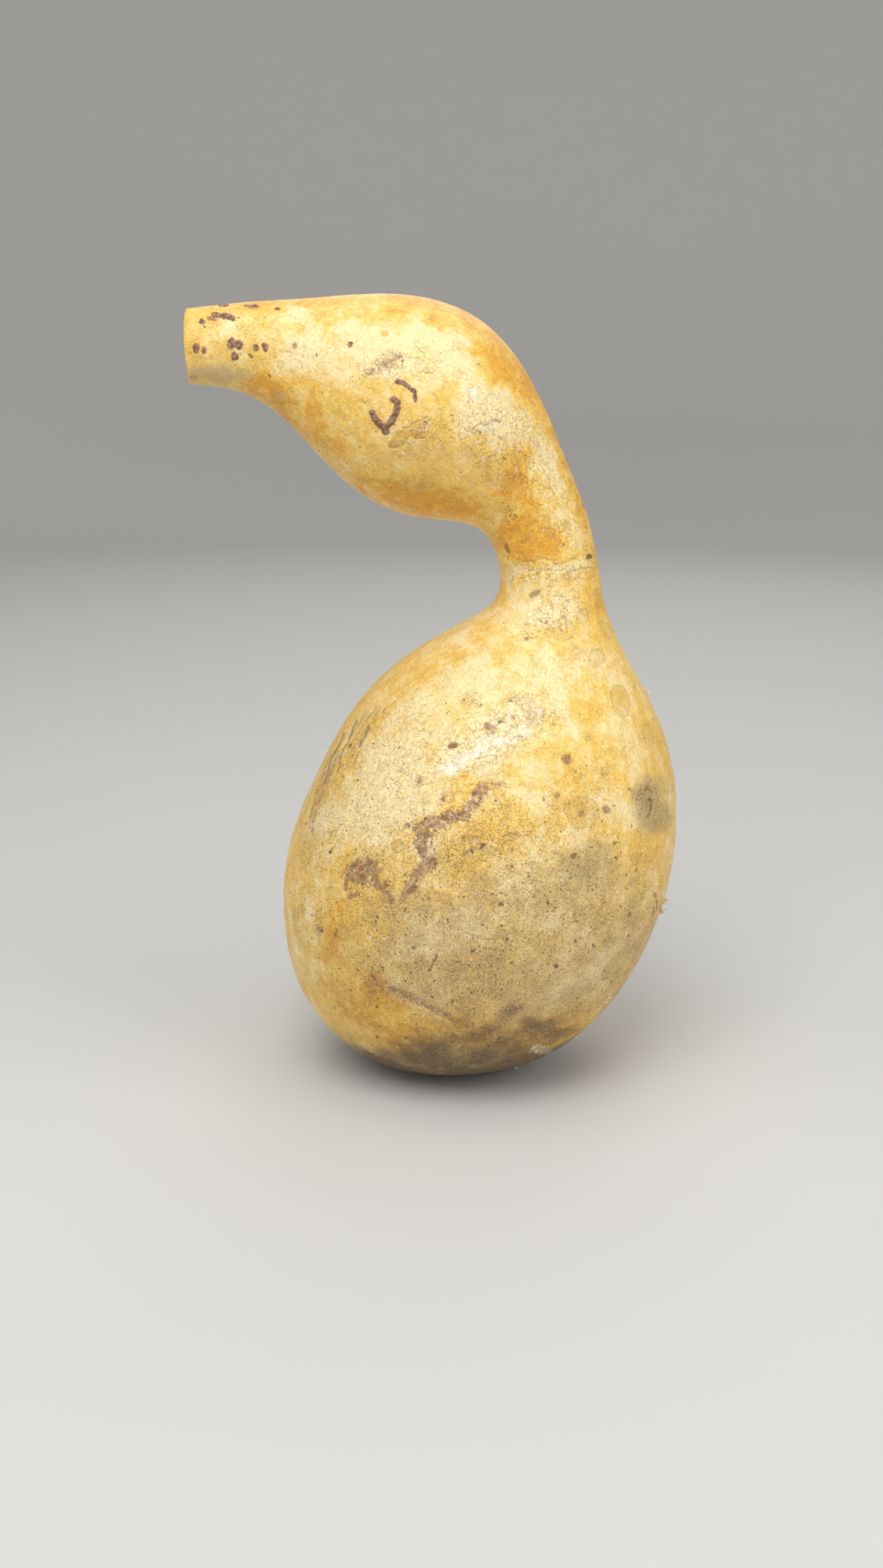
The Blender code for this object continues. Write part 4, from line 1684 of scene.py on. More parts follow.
@dataclass(frozen=True)
class DriedRind:
    """The outside of the gourd: waxy cream to amber skin with stains, scars and specks, and with painted
    highlights and painted shade in its colour.
    """

    # The palest skin, which also paints the highlights
    cream: Colour = tint(0.94, 0.74, 0.37)
    butter: Colour = tint(0.90, 0.575, 0.115)
    amber: Colour = tint(0.80, 0.39, 0.028)
    umber: Colour = tint(0.42, 0.19, 0.03)
    # Dust stains and the painted shade along the bottom take this colour
    dust_and_shade: Colour = tint(0.62, 0.45, 0.225)
    moss: Colour = tint(0.34, 0.28, 0.13)
    # Soil stains and the painted shade round the foot and along the bottom
    soil: Colour = tint(0.09, 0.06, 0.03)
    mauve: Colour = tint(0.37, 0.20, 0.15)
    clot: Colour = tint(0.20, 0.085, 0.045)
    rust: Colour = tint(0.27, 0.075, 0.025)
    dark: Colour = tint(0.085, 0.05, 0.025)
    pepper_brown: Colour = tint(0.30, 0.17, 0.055)
    seam: Colour = tint(0.27, 0.155, 0.06)
    chalk: Colour = tint(0.97, 0.90, 0.70)
    ring: Colour = tint(0.45, 0.28, 0.09)
    roughness: float = 0.40

    def make(self, grounds: Grounds) -> bpy.types.Material:
        """Build the material.

        Args:
            grounds: The shared shader groups.

        Returns:
            The material.
        """
        material, weave, shader = new_finish("dried_rind_skin", self.roughness, coat=0.12)
        at = weave.here()
        wide = weave.group(grounds.mottle, {"Vector": at, "Size": 0.034})
        close = weave.group(grounds.mottle, {"Vector": at, "Size": 0.011})
        grain = weave.grain()
        streak = weave.group(grounds.streaks, {"Grain": grain, "Size": 0.0016})["Streak"]
        fine = close["Fine"]
        ragged = weave.total(weave.sway(fine, 1.3), weave.sway(close["Middle"], 2.6))
        wrinkle = self.wrinkles(weave, at, wide["Middle"])

        colour = self.ground(weave, wide, close, streak)
        colour = weave.mix(wrinkle, colour, self.seam)
        drawn = weave.total(streak, weave.sway(fine, 0.25), weave.times(weave.layer("streaks"), 0.1))
        drawn = weave.times(weave.step(drawn, 0.57, 0.68, 0.7), weave.layer("streaks"))
        colour = weave.mix(drawn, colour, self.seam)
        colour = self.stains(weave, colour, wide, close)

        frayed = weave.total(weave.layer("mauve"), ragged, weave.sway(weave.noise(at, 0.0008, 2.0), 3.0))
        mauve = weave.step(frayed, 0.5, -0.6, 0.62)
        mauve = weave.times(mauve, weave.step(close["Middle"], 0.0, 0.55))
        colour = weave.mix(mauve, colour, self.mauve)
        veins = weave.times(self.lines(weave, at, 0.0017, 0.06), mauve)
        colour = weave.mix(weave.times(veins, 1.5, clamp=True), colour, self.clot)
        uneven = (weave.sway(fine, 1.0), weave.sway(close["Middle"], 0.7))
        spot_gap = weave.total(weave.layer("spot"), *uneven)
        spot = weave.times(weave.step(spot_gap, 0.4, -0.5), weave.step(fine, 0.0, 0.5, 0.8))
        colour = weave.mix(spot, colour, self.clot)
        rust = weave.step(weave.total(weave.layer("rust"), weave.sway(fine, 0.9)), 0.25, -0.25, 0.85)
        colour = weave.mix(rust, colour, self.rust)

        ring_gap = weave.total(weave.layer("ring"), weave.sway(fine, 0.4))
        outline = weave.step(weave.math("ABSOLUTE", ring_gap), 0.45, 0.05, 0.6)
        ring = weave.most(outline, weave.step(weave.layer("ring"), 0.2, -0.4, 0.22))
        colour = weave.mix(ring, colour, self.ring)

        # Pale flakes, halos and painted highlights, and pale flakes where the wax is scaly
        uneven = (weave.sway(fine, 0.8), weave.sway(close["Middle"], 0.8))
        chalk = weave.step(weave.total(weave.layer("chalk"), *uneven), 0.4, 1.1, 0.85)
        flakes = weave.total(close["Middle"], weave.times(weave.layer("scaly"), 0.25))
        chalk = weave.most(chalk, weave.step(flakes, 0.86, 1.08, 0.5))
        colour = weave.mix(chalk, colour, self.chalk)

        gap = weave.math("ABSOLUTE", weave.total(weave.layer("peel"), weave.sway(fine, 0.3)))
        broken = weave.step(close["Middle"], 0.3, 0.6)
        peel = weave.times(weave.step(gap, 0.22, 0.02, 0.5), broken)
        crack_gap = weave.total(weave.layer("crack"), weave.sway(fine, 0.3))
        crack = weave.times(weave.step(crack_gap, 0.16, -0.1, 0.8), broken)
        line = weave.most(peel, crack)
        colour = weave.mix(line, colour, self.seam)

        patchy = weave.total(weave.sway(wide["Middle"], 0.6), weave.sway(wide["Broad"], 0.6), 0.85)
        # The dark specks and stipple follow the soil layer too, so they thicken in the painted shade
        # round the foot
        density = weave.most(weave.layer("specks"), weave.layer("soil"))
        density = weave.times(density, patchy, clamp=True)
        colour = weave.mix(self.pepper(weave, at, density), colour, self.pepper_brown)
        dots = self.dots(weave, grounds, at, density)
        colour = weave.mix(dots, colour, self.dark)
        weave.plug(shader.inputs["Base Color"], colour)

        dull = weave.most(weave.most(dots, mauve), weave.layer("grime"))
        rough = weave.total(weave.times(dull, 0.25), weave.sway(fine, 0.16), self.roughness)
        weave.plug(shader.inputs["Roughness"], rough)
        self.bump(weave, shader, at, {streak: 0.3, fine: 0.5, dots: -0.8, chalk: 0.5, wrinkle: -1.0})
        return material

    def ground(self, weave: Weave, wide: Outputs, close: Outputs, streak: Socket) -> Socket:
        """The skin's colour, from cream through butter and amber to umber, with the painted highlights
        that the pale layer carries.

        Args:
            weave: What adds the nodes.
            wide: The broad mottle.
            close: The close mottle.
            streak: The lines along the grain.

        Returns:
            The colour.
        """
        broken = weave.total(weave.sway(close["Broad"], 0.7), weave.sway(close["Middle"], 0.7), 0.86)
        # The pale layer lowers the warmth, also where it paints highlights
        warmth = weave.total(
            weave.times(weave.layer("amber"), broken),
            weave.times(weave.layer("cream"), -0.42),
            weave.sway(wide["Broad"], 0.34),
            weave.sway(wide["Middle"], 0.36),
            weave.sway(close["Middle"], 0.24),
            weave.sway(close["Fine"], weave.math("MULTIPLY_ADD", weave.layer("scaly"), 0.14, 0.08)),
            0.30,
        )
        colour = weave.mix(weave.step(warmth, 0.0, 0.42), self.cream, self.butter)
        colour = weave.mix(weave.step(warmth, 0.36, 0.90), colour, self.amber)
        colour = weave.mix(weave.step(warmth, 1.0, 1.6), colour, self.umber)
        shade = weave.total(weave.sway(streak, 0.34), weave.sway(close["Fine"], 0.46), 1.0)
        grey = weave.add("ShaderNodeCombineColor", {"Red": shade, "Green": shade, "Blue": shade})
        return weave.mix(1.0, colour, grey.outputs[0], "MULTIPLY")

    def wrinkles(self, weave: Weave, at: Socket, patchy: Socket) -> Socket:
        """Hair-fine winding lines in the wax, stronger in some patches than in others.

        Args:
            weave: What adds the nodes.
            at: The object's coordinates.
            patchy: Where they are stronger.

        Returns:
            The mask.
        """
        share = weave.total(weave.times(weave.layer("scaly"), 0.7), weave.sway(patchy, 0.5), 0.35)
        found = weave.times(self.lines(weave, at, 0.0026, 0.028), share, clamp=True)
        return weave.times(found, 0.75)

    @staticmethod
    def lines(weave: Weave, at: Socket, size: float, width: float) -> Socket:
        """Thin winding lines, where a noise of that size crosses its middle value."""
        fold = weave.math("ABSOLUTE", weave.math("SUBTRACT", weave.noise(at, size, 4.0, 0.65), 0.5))
        return weave.step(fold, width, 0.0)

    def stains(self, weave: Weave, colour: Socket, wide: Outputs, close: Outputs) -> Socket:
        """Mould, dust and soil stains, and painted shade along the bottom and round the foot.

        Args:
            weave: What adds the nodes.
            colour: The skin's colour.
            wide: The broad mottle.
            close: The close mottle.

        Returns:
            The stained colour.
        """
        grit = weave.sway(close["Fine"], 0.5)
        olive = weave.total(weave.layer("olive"), weave.sway(close["Middle"], 0.3), grit)
        colour = weave.mix(weave.step(olive, 0.1, 1.1, 0.8), colour, self.moss)
        # Dust stains, and the painted shade along the bottom
        grime = weave.total(weave.layer("grime"), grit, weave.sway(wide["Middle"], 0.4))
        colour = weave.mix(weave.step(grime, 0.1, 1.1, 0.85), colour, self.dust_and_shade)
        # Soil stains, and painted shade along the bottom and round the foot
        soil = weave.total(weave.layer("soil"), grit, weave.sway(close["Broad"], 0.4))
        return weave.mix(weave.step(soil, 0.2, 0.95, 0.9), colour, self.soil)

    @staticmethod
    def dots(weave: Weave, grounds: Grounds, at: Socket, density: Socket) -> Socket:
        """The dirt specks, in three sizes.

        Args:
            weave: What adds the nodes.
            grounds: The shared shader groups.
            at: The object's coordinates.
            density: How many there are.

        Returns:
            The mask.
        """
        found = None
        for size, share, base in ((0.0034, 0.16, 0.012), (0.0019, 0.50, 0.02), (0.0010, 0.90, 0.03)):
            inputs = {
                "Vector": at,
                "Size": size,
                "Density": weave.math("MULTIPLY_ADD", density, share, base),
            }
            mask = weave.group(grounds.specks, inputs)["Mask"]
            found = mask if found is None else weave.most(found, mask)
        return weave.times(found, 0.8)

    @staticmethod
    def pepper(weave: Weave, at: Socket, density: Socket) -> Socket:
        """The fine grey-brown stipple between the specks."""
        grit = weave.total(weave.noise(at, 0.00046, 2.0, 0.7), weave.times(density, 0.12))
        return weave.times(weave.step(grit, 0.58, 0.70, 0.75), weave.step(density, 0.02, 0.5))

    @staticmethod
    def bump(weave: Weave, shader: bpy.types.Node, at: Socket, parts: dict[Socket, float]) -> None:
        """The waxy skin's fine unevenness, with the marks that stand up or lie deeper.

        Args:
            weave: What adds the nodes.
            shader: The skin's shader.
            at: The object's coordinates.
            parts: The masks, and how far each raises the skin.
        """
        height = weave.times(weave.noise(at, 0.0011, 2.0), 0.5)
        for part, share in parts.items():
            height = weave.math("MULTIPLY_ADD", part, share, height)
        weave.bump(shader, height, 0.6, 0.0004)


@dataclass(frozen=True)
class SawnRim:
    """The cut through the wall: a thin hard shell outside, and pale corky flesh inside."""

    straw: Colour = tint(0.78, 0.62, 0.38)
    shell: Colour = tint(0.50, 0.31, 0.12)
    fibre: Colour = tint(0.56, 0.40, 0.20)

    def make(self, grounds: Grounds) -> bpy.types.Material:
        """Build the material.

        Args:
            grounds: The shared shader groups.

        Returns:
            The material.
        """
        material, weave, shader = new_finish("sawn_rim", 0.8)
        at = weave.here()
        tone = weave.group(grounds.mottle, {"Vector": at, "Size": 0.006})
        colour = weave.mix(weave.step(tone["Middle"], 0.3, 0.9), self.straw, self.fibre)
        hard = weave.step(weave.layer("rind_share"), 0.68, 0.86)
        colour = weave.mix(hard, colour, self.shell)
        pores = weave.group(grounds.specks, {"Vector": at, "Size": 0.0007, "Density": 0.35})
        colour = weave.mix(weave.times(pores["Mask"], 0.6), colour, self.fibre)
        weave.plug(shader.inputs["Base Color"], colour)
        height = weave.math("MULTIPLY_ADD", pores["Mask"], -0.6, tone["Fine"])
        weave.bump(shader, height, 0.7, 0.0003)
        return material


@dataclass(frozen=True)
class PaperyLining:
    """The dried pulp that lines the hollow: papery, tan, and darker in patches."""

    pulp: Colour = tint(0.62, 0.46, 0.26)
    stain: Colour = tint(0.30, 0.19, 0.09)

    def make(self, grounds: Grounds) -> bpy.types.Material:
        """Build the material.

        Args:
            grounds: The shared shader groups.

        Returns:
            The material.
        """
        material, weave, shader = new_finish("papery_lining", 0.9)
        at = weave.here()
        tone = weave.group(grounds.mottle, {"Vector": at, "Size": 0.016})
        colour = weave.mix(weave.step(tone["Middle"], 0.25, 0.9), self.pulp, self.stain)
        grain = weave.grain()
        streak = weave.group(grounds.streaks, {"Grain": grain, "Size": 0.0014})["Streak"]
        colour = weave.mix(weave.step(streak, 0.5, 0.75, 0.5), colour, self.stain)
        weave.plug(shader.inputs["Base Color"], colour)
        height = weave.math("ADD", streak, tone["Fine"])
        weave.bump(shader, height, 0.8, 0.0005)
        return material


@dataclass(frozen=True)
class Flecked:
    """A dull finish of two colours, for scars, crumbs, fibres and flakes."""

    name: str
    main: Colour
    fleck: Colour
    size: float = 0.0022
    roughness: float = 0.85

    def make(self, grounds: Grounds) -> bpy.types.Material:
        """Build the material.

        Args:
            grounds: The shared shader groups.

        Returns:
            The material.
        """
        material, weave, shader = new_finish(self.name, self.roughness)
        at = weave.here()
        tone = weave.group(grounds.mottle, {"Vector": at, "Size": self.size})
        share = weave.total(tone["Broad"], weave.sway(tone["Middle"], 0.6))
        colour = weave.mix(weave.step(share, 0.25, 0.85), self.main, self.fleck)
        weave.plug(shader.inputs["Base Color"], colour)
        weave.bump(shader, tone["Middle"], 0.6, 0.0002)
        return material


# Raised scars and loose flakes

@dataclass(frozen=True)
class Scab:
    """One raised corky scar: the marks it is made of, and its height in millimetres."""

    marks: tuple[Mark, ...]
    height: float = 0.5
    ragged: float = 0.55


@dataclass
class CorkyScabs:
    """The raised corky scars, as low uneven mounds that rise out of the rind.

    Each is a grid of points, a fraction of a pixel apart, that rays from the camera land on the
    rind. The points then rise by their distance from the scar's edge. Those outside the edge
    stay under the skin, so that the mound has no rim of its own, and a sunk copy closes it below.
    """

    view: PhotoView
    skin: bpy.types.Object
    scabs: tuple[Scab, ...]
    spacing: float = 0.75
    sunk: float = 0.08
    floor: float = 0.3
    shoulder: float = 2.4
    swell: float = 0.2
    fray_size: float = 7.0
    fine_fray_size: float = 3.0
    grain: float = 0.22
    grain_size: float = 3.4
    cast_gap: float = 1.6
    kept_gap: float = 0.3
    margin: float = 3.0
    grazing: float = 0.04
    first_seed: int = 60

    def build(self) -> bpy.types.Object:
        """Build all the scars as one object.

        Returns:
            The scars' object, without a material.
        """
        ground = BVHTree.FromObject(self.skin, bpy.context.evaluated_depsgraph_get())
        points, faces = [], []
        for number, scab in enumerate(self.scabs):
            found, joined = self.mound(scab, ground, self.first_seed + number)
            faces += [tuple(v + len(points) for v in face) for face in joined]
            points += found
        return mesh_piece("corky_scabs", points, faces)

    def gap(self, scab: Scab, at: Points, seed: int) -> Points:
        """The distance in pixels to the scar's uneven edge.

        Args:
            scab: The scar.
            at: The pixels to look at.
            seed: What the random draw starts from.

        Returns:
            The distances.
        """
        gap = np.min([mark.distance(at) for mark in scab.marks], axis=0)
        fine = Ripple(seed + 50, self.fine_fray_size, dimensions=2).at(at)
        frayed = Ripple(seed, self.fray_size, dimensions=2).at(at) + 0.5 * fine
        return gap + scab.ragged * frayed - self.swell

    def mound(self, scab: Scab, ground: BVHTree, seed: int) -> tuple[list[Points], list[tuple]]:
        """The points and faces of one scar.

        Args:
            scab: The scar.
            ground: The skin that it sits on.
            seed: What the random draw starts from.

        Returns:
            The points and the faces.
        """
        low, high = self.reach(scab)
        across = np.arange(low[0], high[0], self.spacing)
        down = np.arange(low[1], high[1], self.spacing)
        grid = np.stack(np.meshgrid(down, across, indexing="ij")[::-1], axis=-1)
        flat = grid.reshape(-1, 2)
        gap = self.gap(scab, flat, seed)
        dome = np.sqrt(np.clip(-gap / self.shoulder, 0.0, 1.0))
        grains = self.grain * Ripple(seed + 7, self.grain_size, dimensions=2).at(flat)
        grains *= smooth_step(0.2, -1.5, gap)
        rise = np.where(gap < 0.0, scab.height * (dome + grains) - self.sunk * (1 - dome), -self.sunk)
        landed = [
            self.land(place, ground) if near < self.cast_gap else None
            for place, near in zip(flat, gap)
        ]
        rows, columns = grid.shape[:2]
        kept = []
        for i in range(rows - 1):
            for j in range(columns - 1):
                first = i * columns + j
                ring = (first, first + columns, first + columns + 1, first + 1)
                if min(gap[v] for v in ring) < self.kept_gap and all(landed[v] for v in ring):
                    kept.append(ring)
        return self.close(kept, landed, rise)

    def reach(self, scab: Scab) -> tuple[Points, Points]:
        """The corners of a box in pixels that holds the scar.

        Args:
            scab: The scar.

        Returns:
            The least and the greatest pixel.
        """
        ends = []
        for mark in scab.marks:
            if isinstance(mark, Oval):
                size = max(mark.half_width, mark.half_height)
                ends += [(mark.across - size, mark.down - size), (mark.across + size, mark.down + size)]
            else:
                size = max(mark.width, mark.end_width or 0.0) / 2
                ends += [(x + side * size, y + side * size) for x, y in mark.path for side in (-1, 1)]
        return np.min(ends, axis=0) - self.margin, np.max(ends, axis=0) + self.margin

    def land(self, place: Points, ground: BVHTree) -> tuple[Vector, Vector] | None:
        """Where a pixel's ray meets the rind, with the rind's normal there.

        Args:
            place: The pixel.
            ground: The skin.

        Returns:
            The point and the normal, or None if it misses.
        """
        heading = self.view.ray(*place)
        spot, normal, _, _ = ground.ray_cast(Vector(self.view.eye()), heading)
        return (spot, normal) if spot is not None and normal.dot(heading) < -self.grazing else None

    def close(self, kept: list[tuple], landed: list, rise: Points) -> tuple[list[Points], list[tuple]]:
        """Join the kept cells above and below into closed bodies.

        Args:
            kept: The cells of the grid that are kept.
            landed: Where each grid point meets the rind.
            rise: How far each rises.

        Returns:
            The points and the faces.
        """
        number = {}
        for ring in kept:
            for v in ring:
                number.setdefault(v, len(number))
        sides = {(ring[k], ring[(k + 1) % 4]) for ring in kept for k in range(4)}
        outer = sorted(side for side in sides if side[::-1] not in sides)
        rim = {v for side in outer for v in side}
        points = []
        for v in number:
            spot, normal = landed[v]
            lift = -self.sunk if v in rim else rise[v]
            points.append(np.array(spot + normal * lift * MM))
        for v in number:
            spot, normal = landed[v]
            points.append(np.array(spot - normal * self.floor * MM))
        count = len(number)
        faces = [tuple(number[v] for v in ring) for ring in kept]
        faces += [tuple(number[v] + count for v in ring[::-1]) for ring in kept]
        faces += [(number[b], number[a], number[a] + count, number[b] + count) for a, b in outer]
        return points, faces


# The corky scars that the photograph shows, with the heights of their mounds
TAIL = (Oval(258, 410, 3.6, 4), Trail(((258, 410), (261, 418)), 2.6, 1.4))
HOOK = (
    Trail(((474.5, 526), (479, 535), (485, 542), (491, 546)), 7.4, 8.4),
    Trail(((491, 546), (499, 537), (506, 525), (507, 513), (501, 509)), 8.4, 7.4),
    Oval(492, 549.5, 4.8, 4.6),
)
ARC = (Trail(((507, 486.5), (514, 488), (521, 493), (528, 499), (530, 510)), 6.4, 4.8),)
FRONT_SCABS = (
    *(Scab((spot,), 0.42) for spot in COLLAR_SPOTS),
    Scab(TAIL, 0.35), Scab(HOOK, 0.6), Scab(ARC, 0.5),
)


@dataclass(frozen=True)
class Chip:
    """One loose flake: its pixel at the gourd's outline, its size and its turn in degrees."""

    across: float
    down: float
    length: float
    width: float
    turn: float = 0.0


@dataclass
class LooseChips:
    """Papery flakes and splinters that lift off the rind, each rooted in the skin."""

    view: PhotoView
    skin: bpy.types.Object
    chips: tuple[Chip, ...]
    thickness: float = 0.12
    curl: float = 0.55
    curling: float = 1.5
    taper: float = 0.75
    cup: float = 0.25
    root_depth: float = 0.25
    fray: float = 0.12
    rows: int = 7
    columns: int = 5
    seed: int = 81

    def build(self) -> bpy.types.Object:
        """Build all the flakes as one object.

        Returns:
            The flakes' object, without a material.
        """
        mesh = self.skin.data
        corners = np.zeros(len(mesh.vertices) * 3)
        normals = np.zeros(len(mesh.vertices) * 3)
        mesh.vertices.foreach_get("co", corners)
        mesh.vertex_normals.foreach_get("vector", normals)
        corners, normals = corners.reshape(-1, 3), normals.reshape(-1, 3)
        facing = self.view.facing(corners, normals)
        near = np.where(facing > -0.1, 0.0, FAR_PIXELS)
        at = self.view.pixels(corners)
        draw = np.random.default_rng(self.seed)
        points, faces = [], []
        for chip in self.chips:
            gap = np.linalg.norm(at - (chip.across, chip.down), axis=1) + near
            root = int(np.argmin(gap))
            made, joined = self.flake(chip, corners[root], normals[root], draw)
            faces += [tuple(v + len(points) for v in face) for face in joined]
            points += list(made)
        return mesh_piece("loose_chips", points, faces, smooth=False)

    def flake(self, chip: Chip, root: Points, normal: Points, draw: np.random.Generator) -> tuple:
        """The points and faces of one flake, a thin plate that curls away from the skin.

        Args:
            chip: The flake.
            root: Where it is rooted.
            normal: The skin's direction there.
            draw: The random draw.

        Returns:
            The points and the faces.
        """
        up = Vector(normal)
        side = up.cross(Vector((0.0, 1.0, 0.0))).normalized()
        side = Matrix.Rotation(math.radians(chip.turn), 3, up) @ side
        out = up.cross(side).normalized()
        sheets = []
        share = np.linspace(0.0, 1.0, self.rows)
        for face_side in (-0.5, 0.5):
            for s in share:
                bend = self.curl + self.curling * s
                half = chip.width / 2 * (1.0 - self.taper * s**2) * (0.8 + 0.2 * draw.random())
                for t in np.linspace(-1.0, 1.0, self.columns):
                    cup = self.cup * half * t * t
                    lift = chip.length * (math.sin(bend) * s) + cup - self.root_depth
                    slide = chip.length * math.cos(bend) * s + self.fray * draw.normal() * half
                    tilt = face_side * self.thickness
                    spot = up * (lift + tilt * math.cos(bend)) + side * half * t + out * (slide - tilt)
                    sheets.append(root + np.array(spot) * MM)
        grid = np.arange(self.rows * self.columns).reshape(self.rows, self.columns)
        count = grid.size
        cells = [
            (grid[i, j], grid[i + 1, j], grid[i + 1, j + 1], grid[i, j + 1])
            for i in range(self.rows - 1)
            for j in range(self.columns - 1)
        ]
        rim = [*grid[0, :-1], *grid[:-1, -1], *grid[-1, :0:-1], *grid[:0:-1, 0]]
        faces = [tuple(int(v) + count for v in cell) for cell in cells]
        faces += [tuple(int(v) for v in cell[::-1]) for cell in cells]
        faces += [
            (int(a), int(b), int(b) + count, int(a) + count) for a, b in zip(rim, rim[1:] + rim[:1])
        ]
        return sheets, faces


# The loose flakes along the outline that the photograph shows
OUTLINE_CHIPS = (
    Chip(846, 1147, 3.4, 2.2, 20), Chip(846, 1151, 2.4, 1.8, -50), Chip(845, 1159, 3.4, 2.6, 80),
    Chip(844, 1163, 2.2, 1.6, 10), Chip(826, 884, 2.2, 1.3, 30), Chip(823, 878, 1.4, 0.9, -20),
    Chip(771, 1276, 1.8, 0.9, 60), Chip(775, 1272, 1.8, 0.7, -30), Chip(734, 1321, 1.6, 0.8, 10),
    Chip(739, 1317, 1.7, 0.6, 80), Chip(799, 1248, 1.2, 0.6, 0), Chip(658, 1361, 1.3, 0.9, 40),
    Chip(417, 958, 1.6, 0.8, 15), Chip(414, 963, 1.2, 0.7, -40),
)


# Geometry node trees

def grown(piece: bpy.types.Object, tree: bpy.types.NodeTree, values: dict[str, object]) -> None:
    """Run a node tree on an object and keep the result as its plain mesh.

    Args:
        piece: The object whose mesh the tree changes.
        tree: The tree.
        values: What its inputs are set to, by name.
    """
    modifier = piece.modifiers.new(tree.name, "NODES")
    modifier.node_group = tree
    for name, value in values.items():
        modifier[tree.interface.items_tree[name].identifier] = value
    graph = bpy.context.evaluated_depsgraph_get()
    graph.update()
    mesh = bpy.data.meshes.new_from_object(
        piece.evaluated_get(graph), preserve_all_data_layers=True, depsgraph=graph
    )
    piece.modifiers.clear()
    piece.data = mesh
    mesh.name = piece.name
    for slot in reversed(range(len(mesh.materials))):
        if mesh.materials[slot] is None:
            mesh.materials.pop(index=slot)


@dataclass(frozen=True)
class RindRelief:
    """Lets the dried skin shrink unevenly: broad lumps and small dimples."""

    lump: tuple[float, float] = (0.34 * MM, 21.0 * MM)
    dimple: tuple[float, float] = (0.10 * MM, 3.4 * MM)
    seed: int = 7

    def apply(self, skin: bpy.types.Object, finishes: dict[Zone, bpy.types.Material]) -> None:
        """Move the skin's points, and give each zone its finish.

        Args:
            skin: The skin's object.
            finishes: Each zone's material.
        """
        tree = self.make(finishes)
        values = {
            "Lump Depth": self.lump[0],
            "Lump Size": self.lump[1],
            "Dimple Depth": self.dimple[0],
            "Dimple Size": self.dimple[1],
            "Seed": self.seed,
        }
        grown(skin, tree, values)

    def make(self, finishes: dict[Zone, bpy.types.Material]) -> bpy.types.NodeTree:
        """Build the tree.

        Args:
            finishes: Each zone's material.

        Returns:
            The tree.
        """
        names = ("Lump Depth", "Lump Size", "Dimple Depth", "Dimple Size")
        inputs = {name: ("NodeSocketFloat",) for name in names}
        weave = new_group(
            "rind_relief",
            "GeometryNodeTree",
            {"Geometry": ("NodeSocketGeometry",), **inputs, "Seed": ("NodeSocketInt",)},
            {"Geometry": "NodeSocketGeometry"},
        )
        given = weave.add("NodeGroupInput").outputs
        place = weave.add("GeometryNodeInputPosition").outputs[0]
        sunk = weave.total(
            self.hollows(weave, place, given["Lump Depth"], given["Lump Size"], given["Seed"]),
            self.hollows(weave, place, given["Dimple Depth"], given["Dimple Size"], given["Seed"]),
        )
        skin = weave.named("skin", "FLOAT")
        inward = weave.times(weave.times(sunk, skin), -1.0)
        normal = weave.add("GeometryNodeInputNormal").outputs[0]
        offset = weave.add("ShaderNodeVectorMath", {0: normal, "Scale": inward}, operation="SCALE")
        moved = weave.add(
            "GeometryNodeSetPosition", {"Geometry": given["Geometry"], "Offset": offset.outputs[0]}
        )
        found = weave.add("GeometryNodeRealizeInstances", {"Geometry": moved.outputs[0]}).outputs[0]
        zone = weave.named("zone", "INT")
        for kind, finish in finishes.items():
            same = weave.add(
                "FunctionNodeCompare", {2: zone, 3: kind.value}, data_type="INT", operation="EQUAL"
            )
            found = weave.add(
                "GeometryNodeSetMaterial",
                {"Geometry": found, "Selection": same.outputs[0], "Material": finish},
            ).outputs[0]
        weave.add("NodeGroupOutput", {"Geometry": found})
        return weave.tree

    @staticmethod
    def hollows(weave: Weave, place: Socket, depth: Socket, size: Socket, seed: Socket) -> Socket:
        """How deep a noise of one size sinks each point.

        Args:
            weave: What adds the nodes.
            place: The points' places.
            depth: The greatest depth.
            size: The noise's size.
            seed: What the noise starts from.

        Returns:
            The depths.
        """
        inputs = {"Vector": place, "Scale": weave.math("DIVIDE", 1.0, size), "Detail": 2.0, "W": seed}
        noise = weave.add("ShaderNodeTexNoise", inputs, noise_dimensions="4D")
        return weave.times(depth, weave.step(noise.outputs["Fac"], 0.25, 0.75))


class Shape(Enum):
    """What a scatter strews."""

    CRUMB = "crumb"
    FIBRE = "fibre"


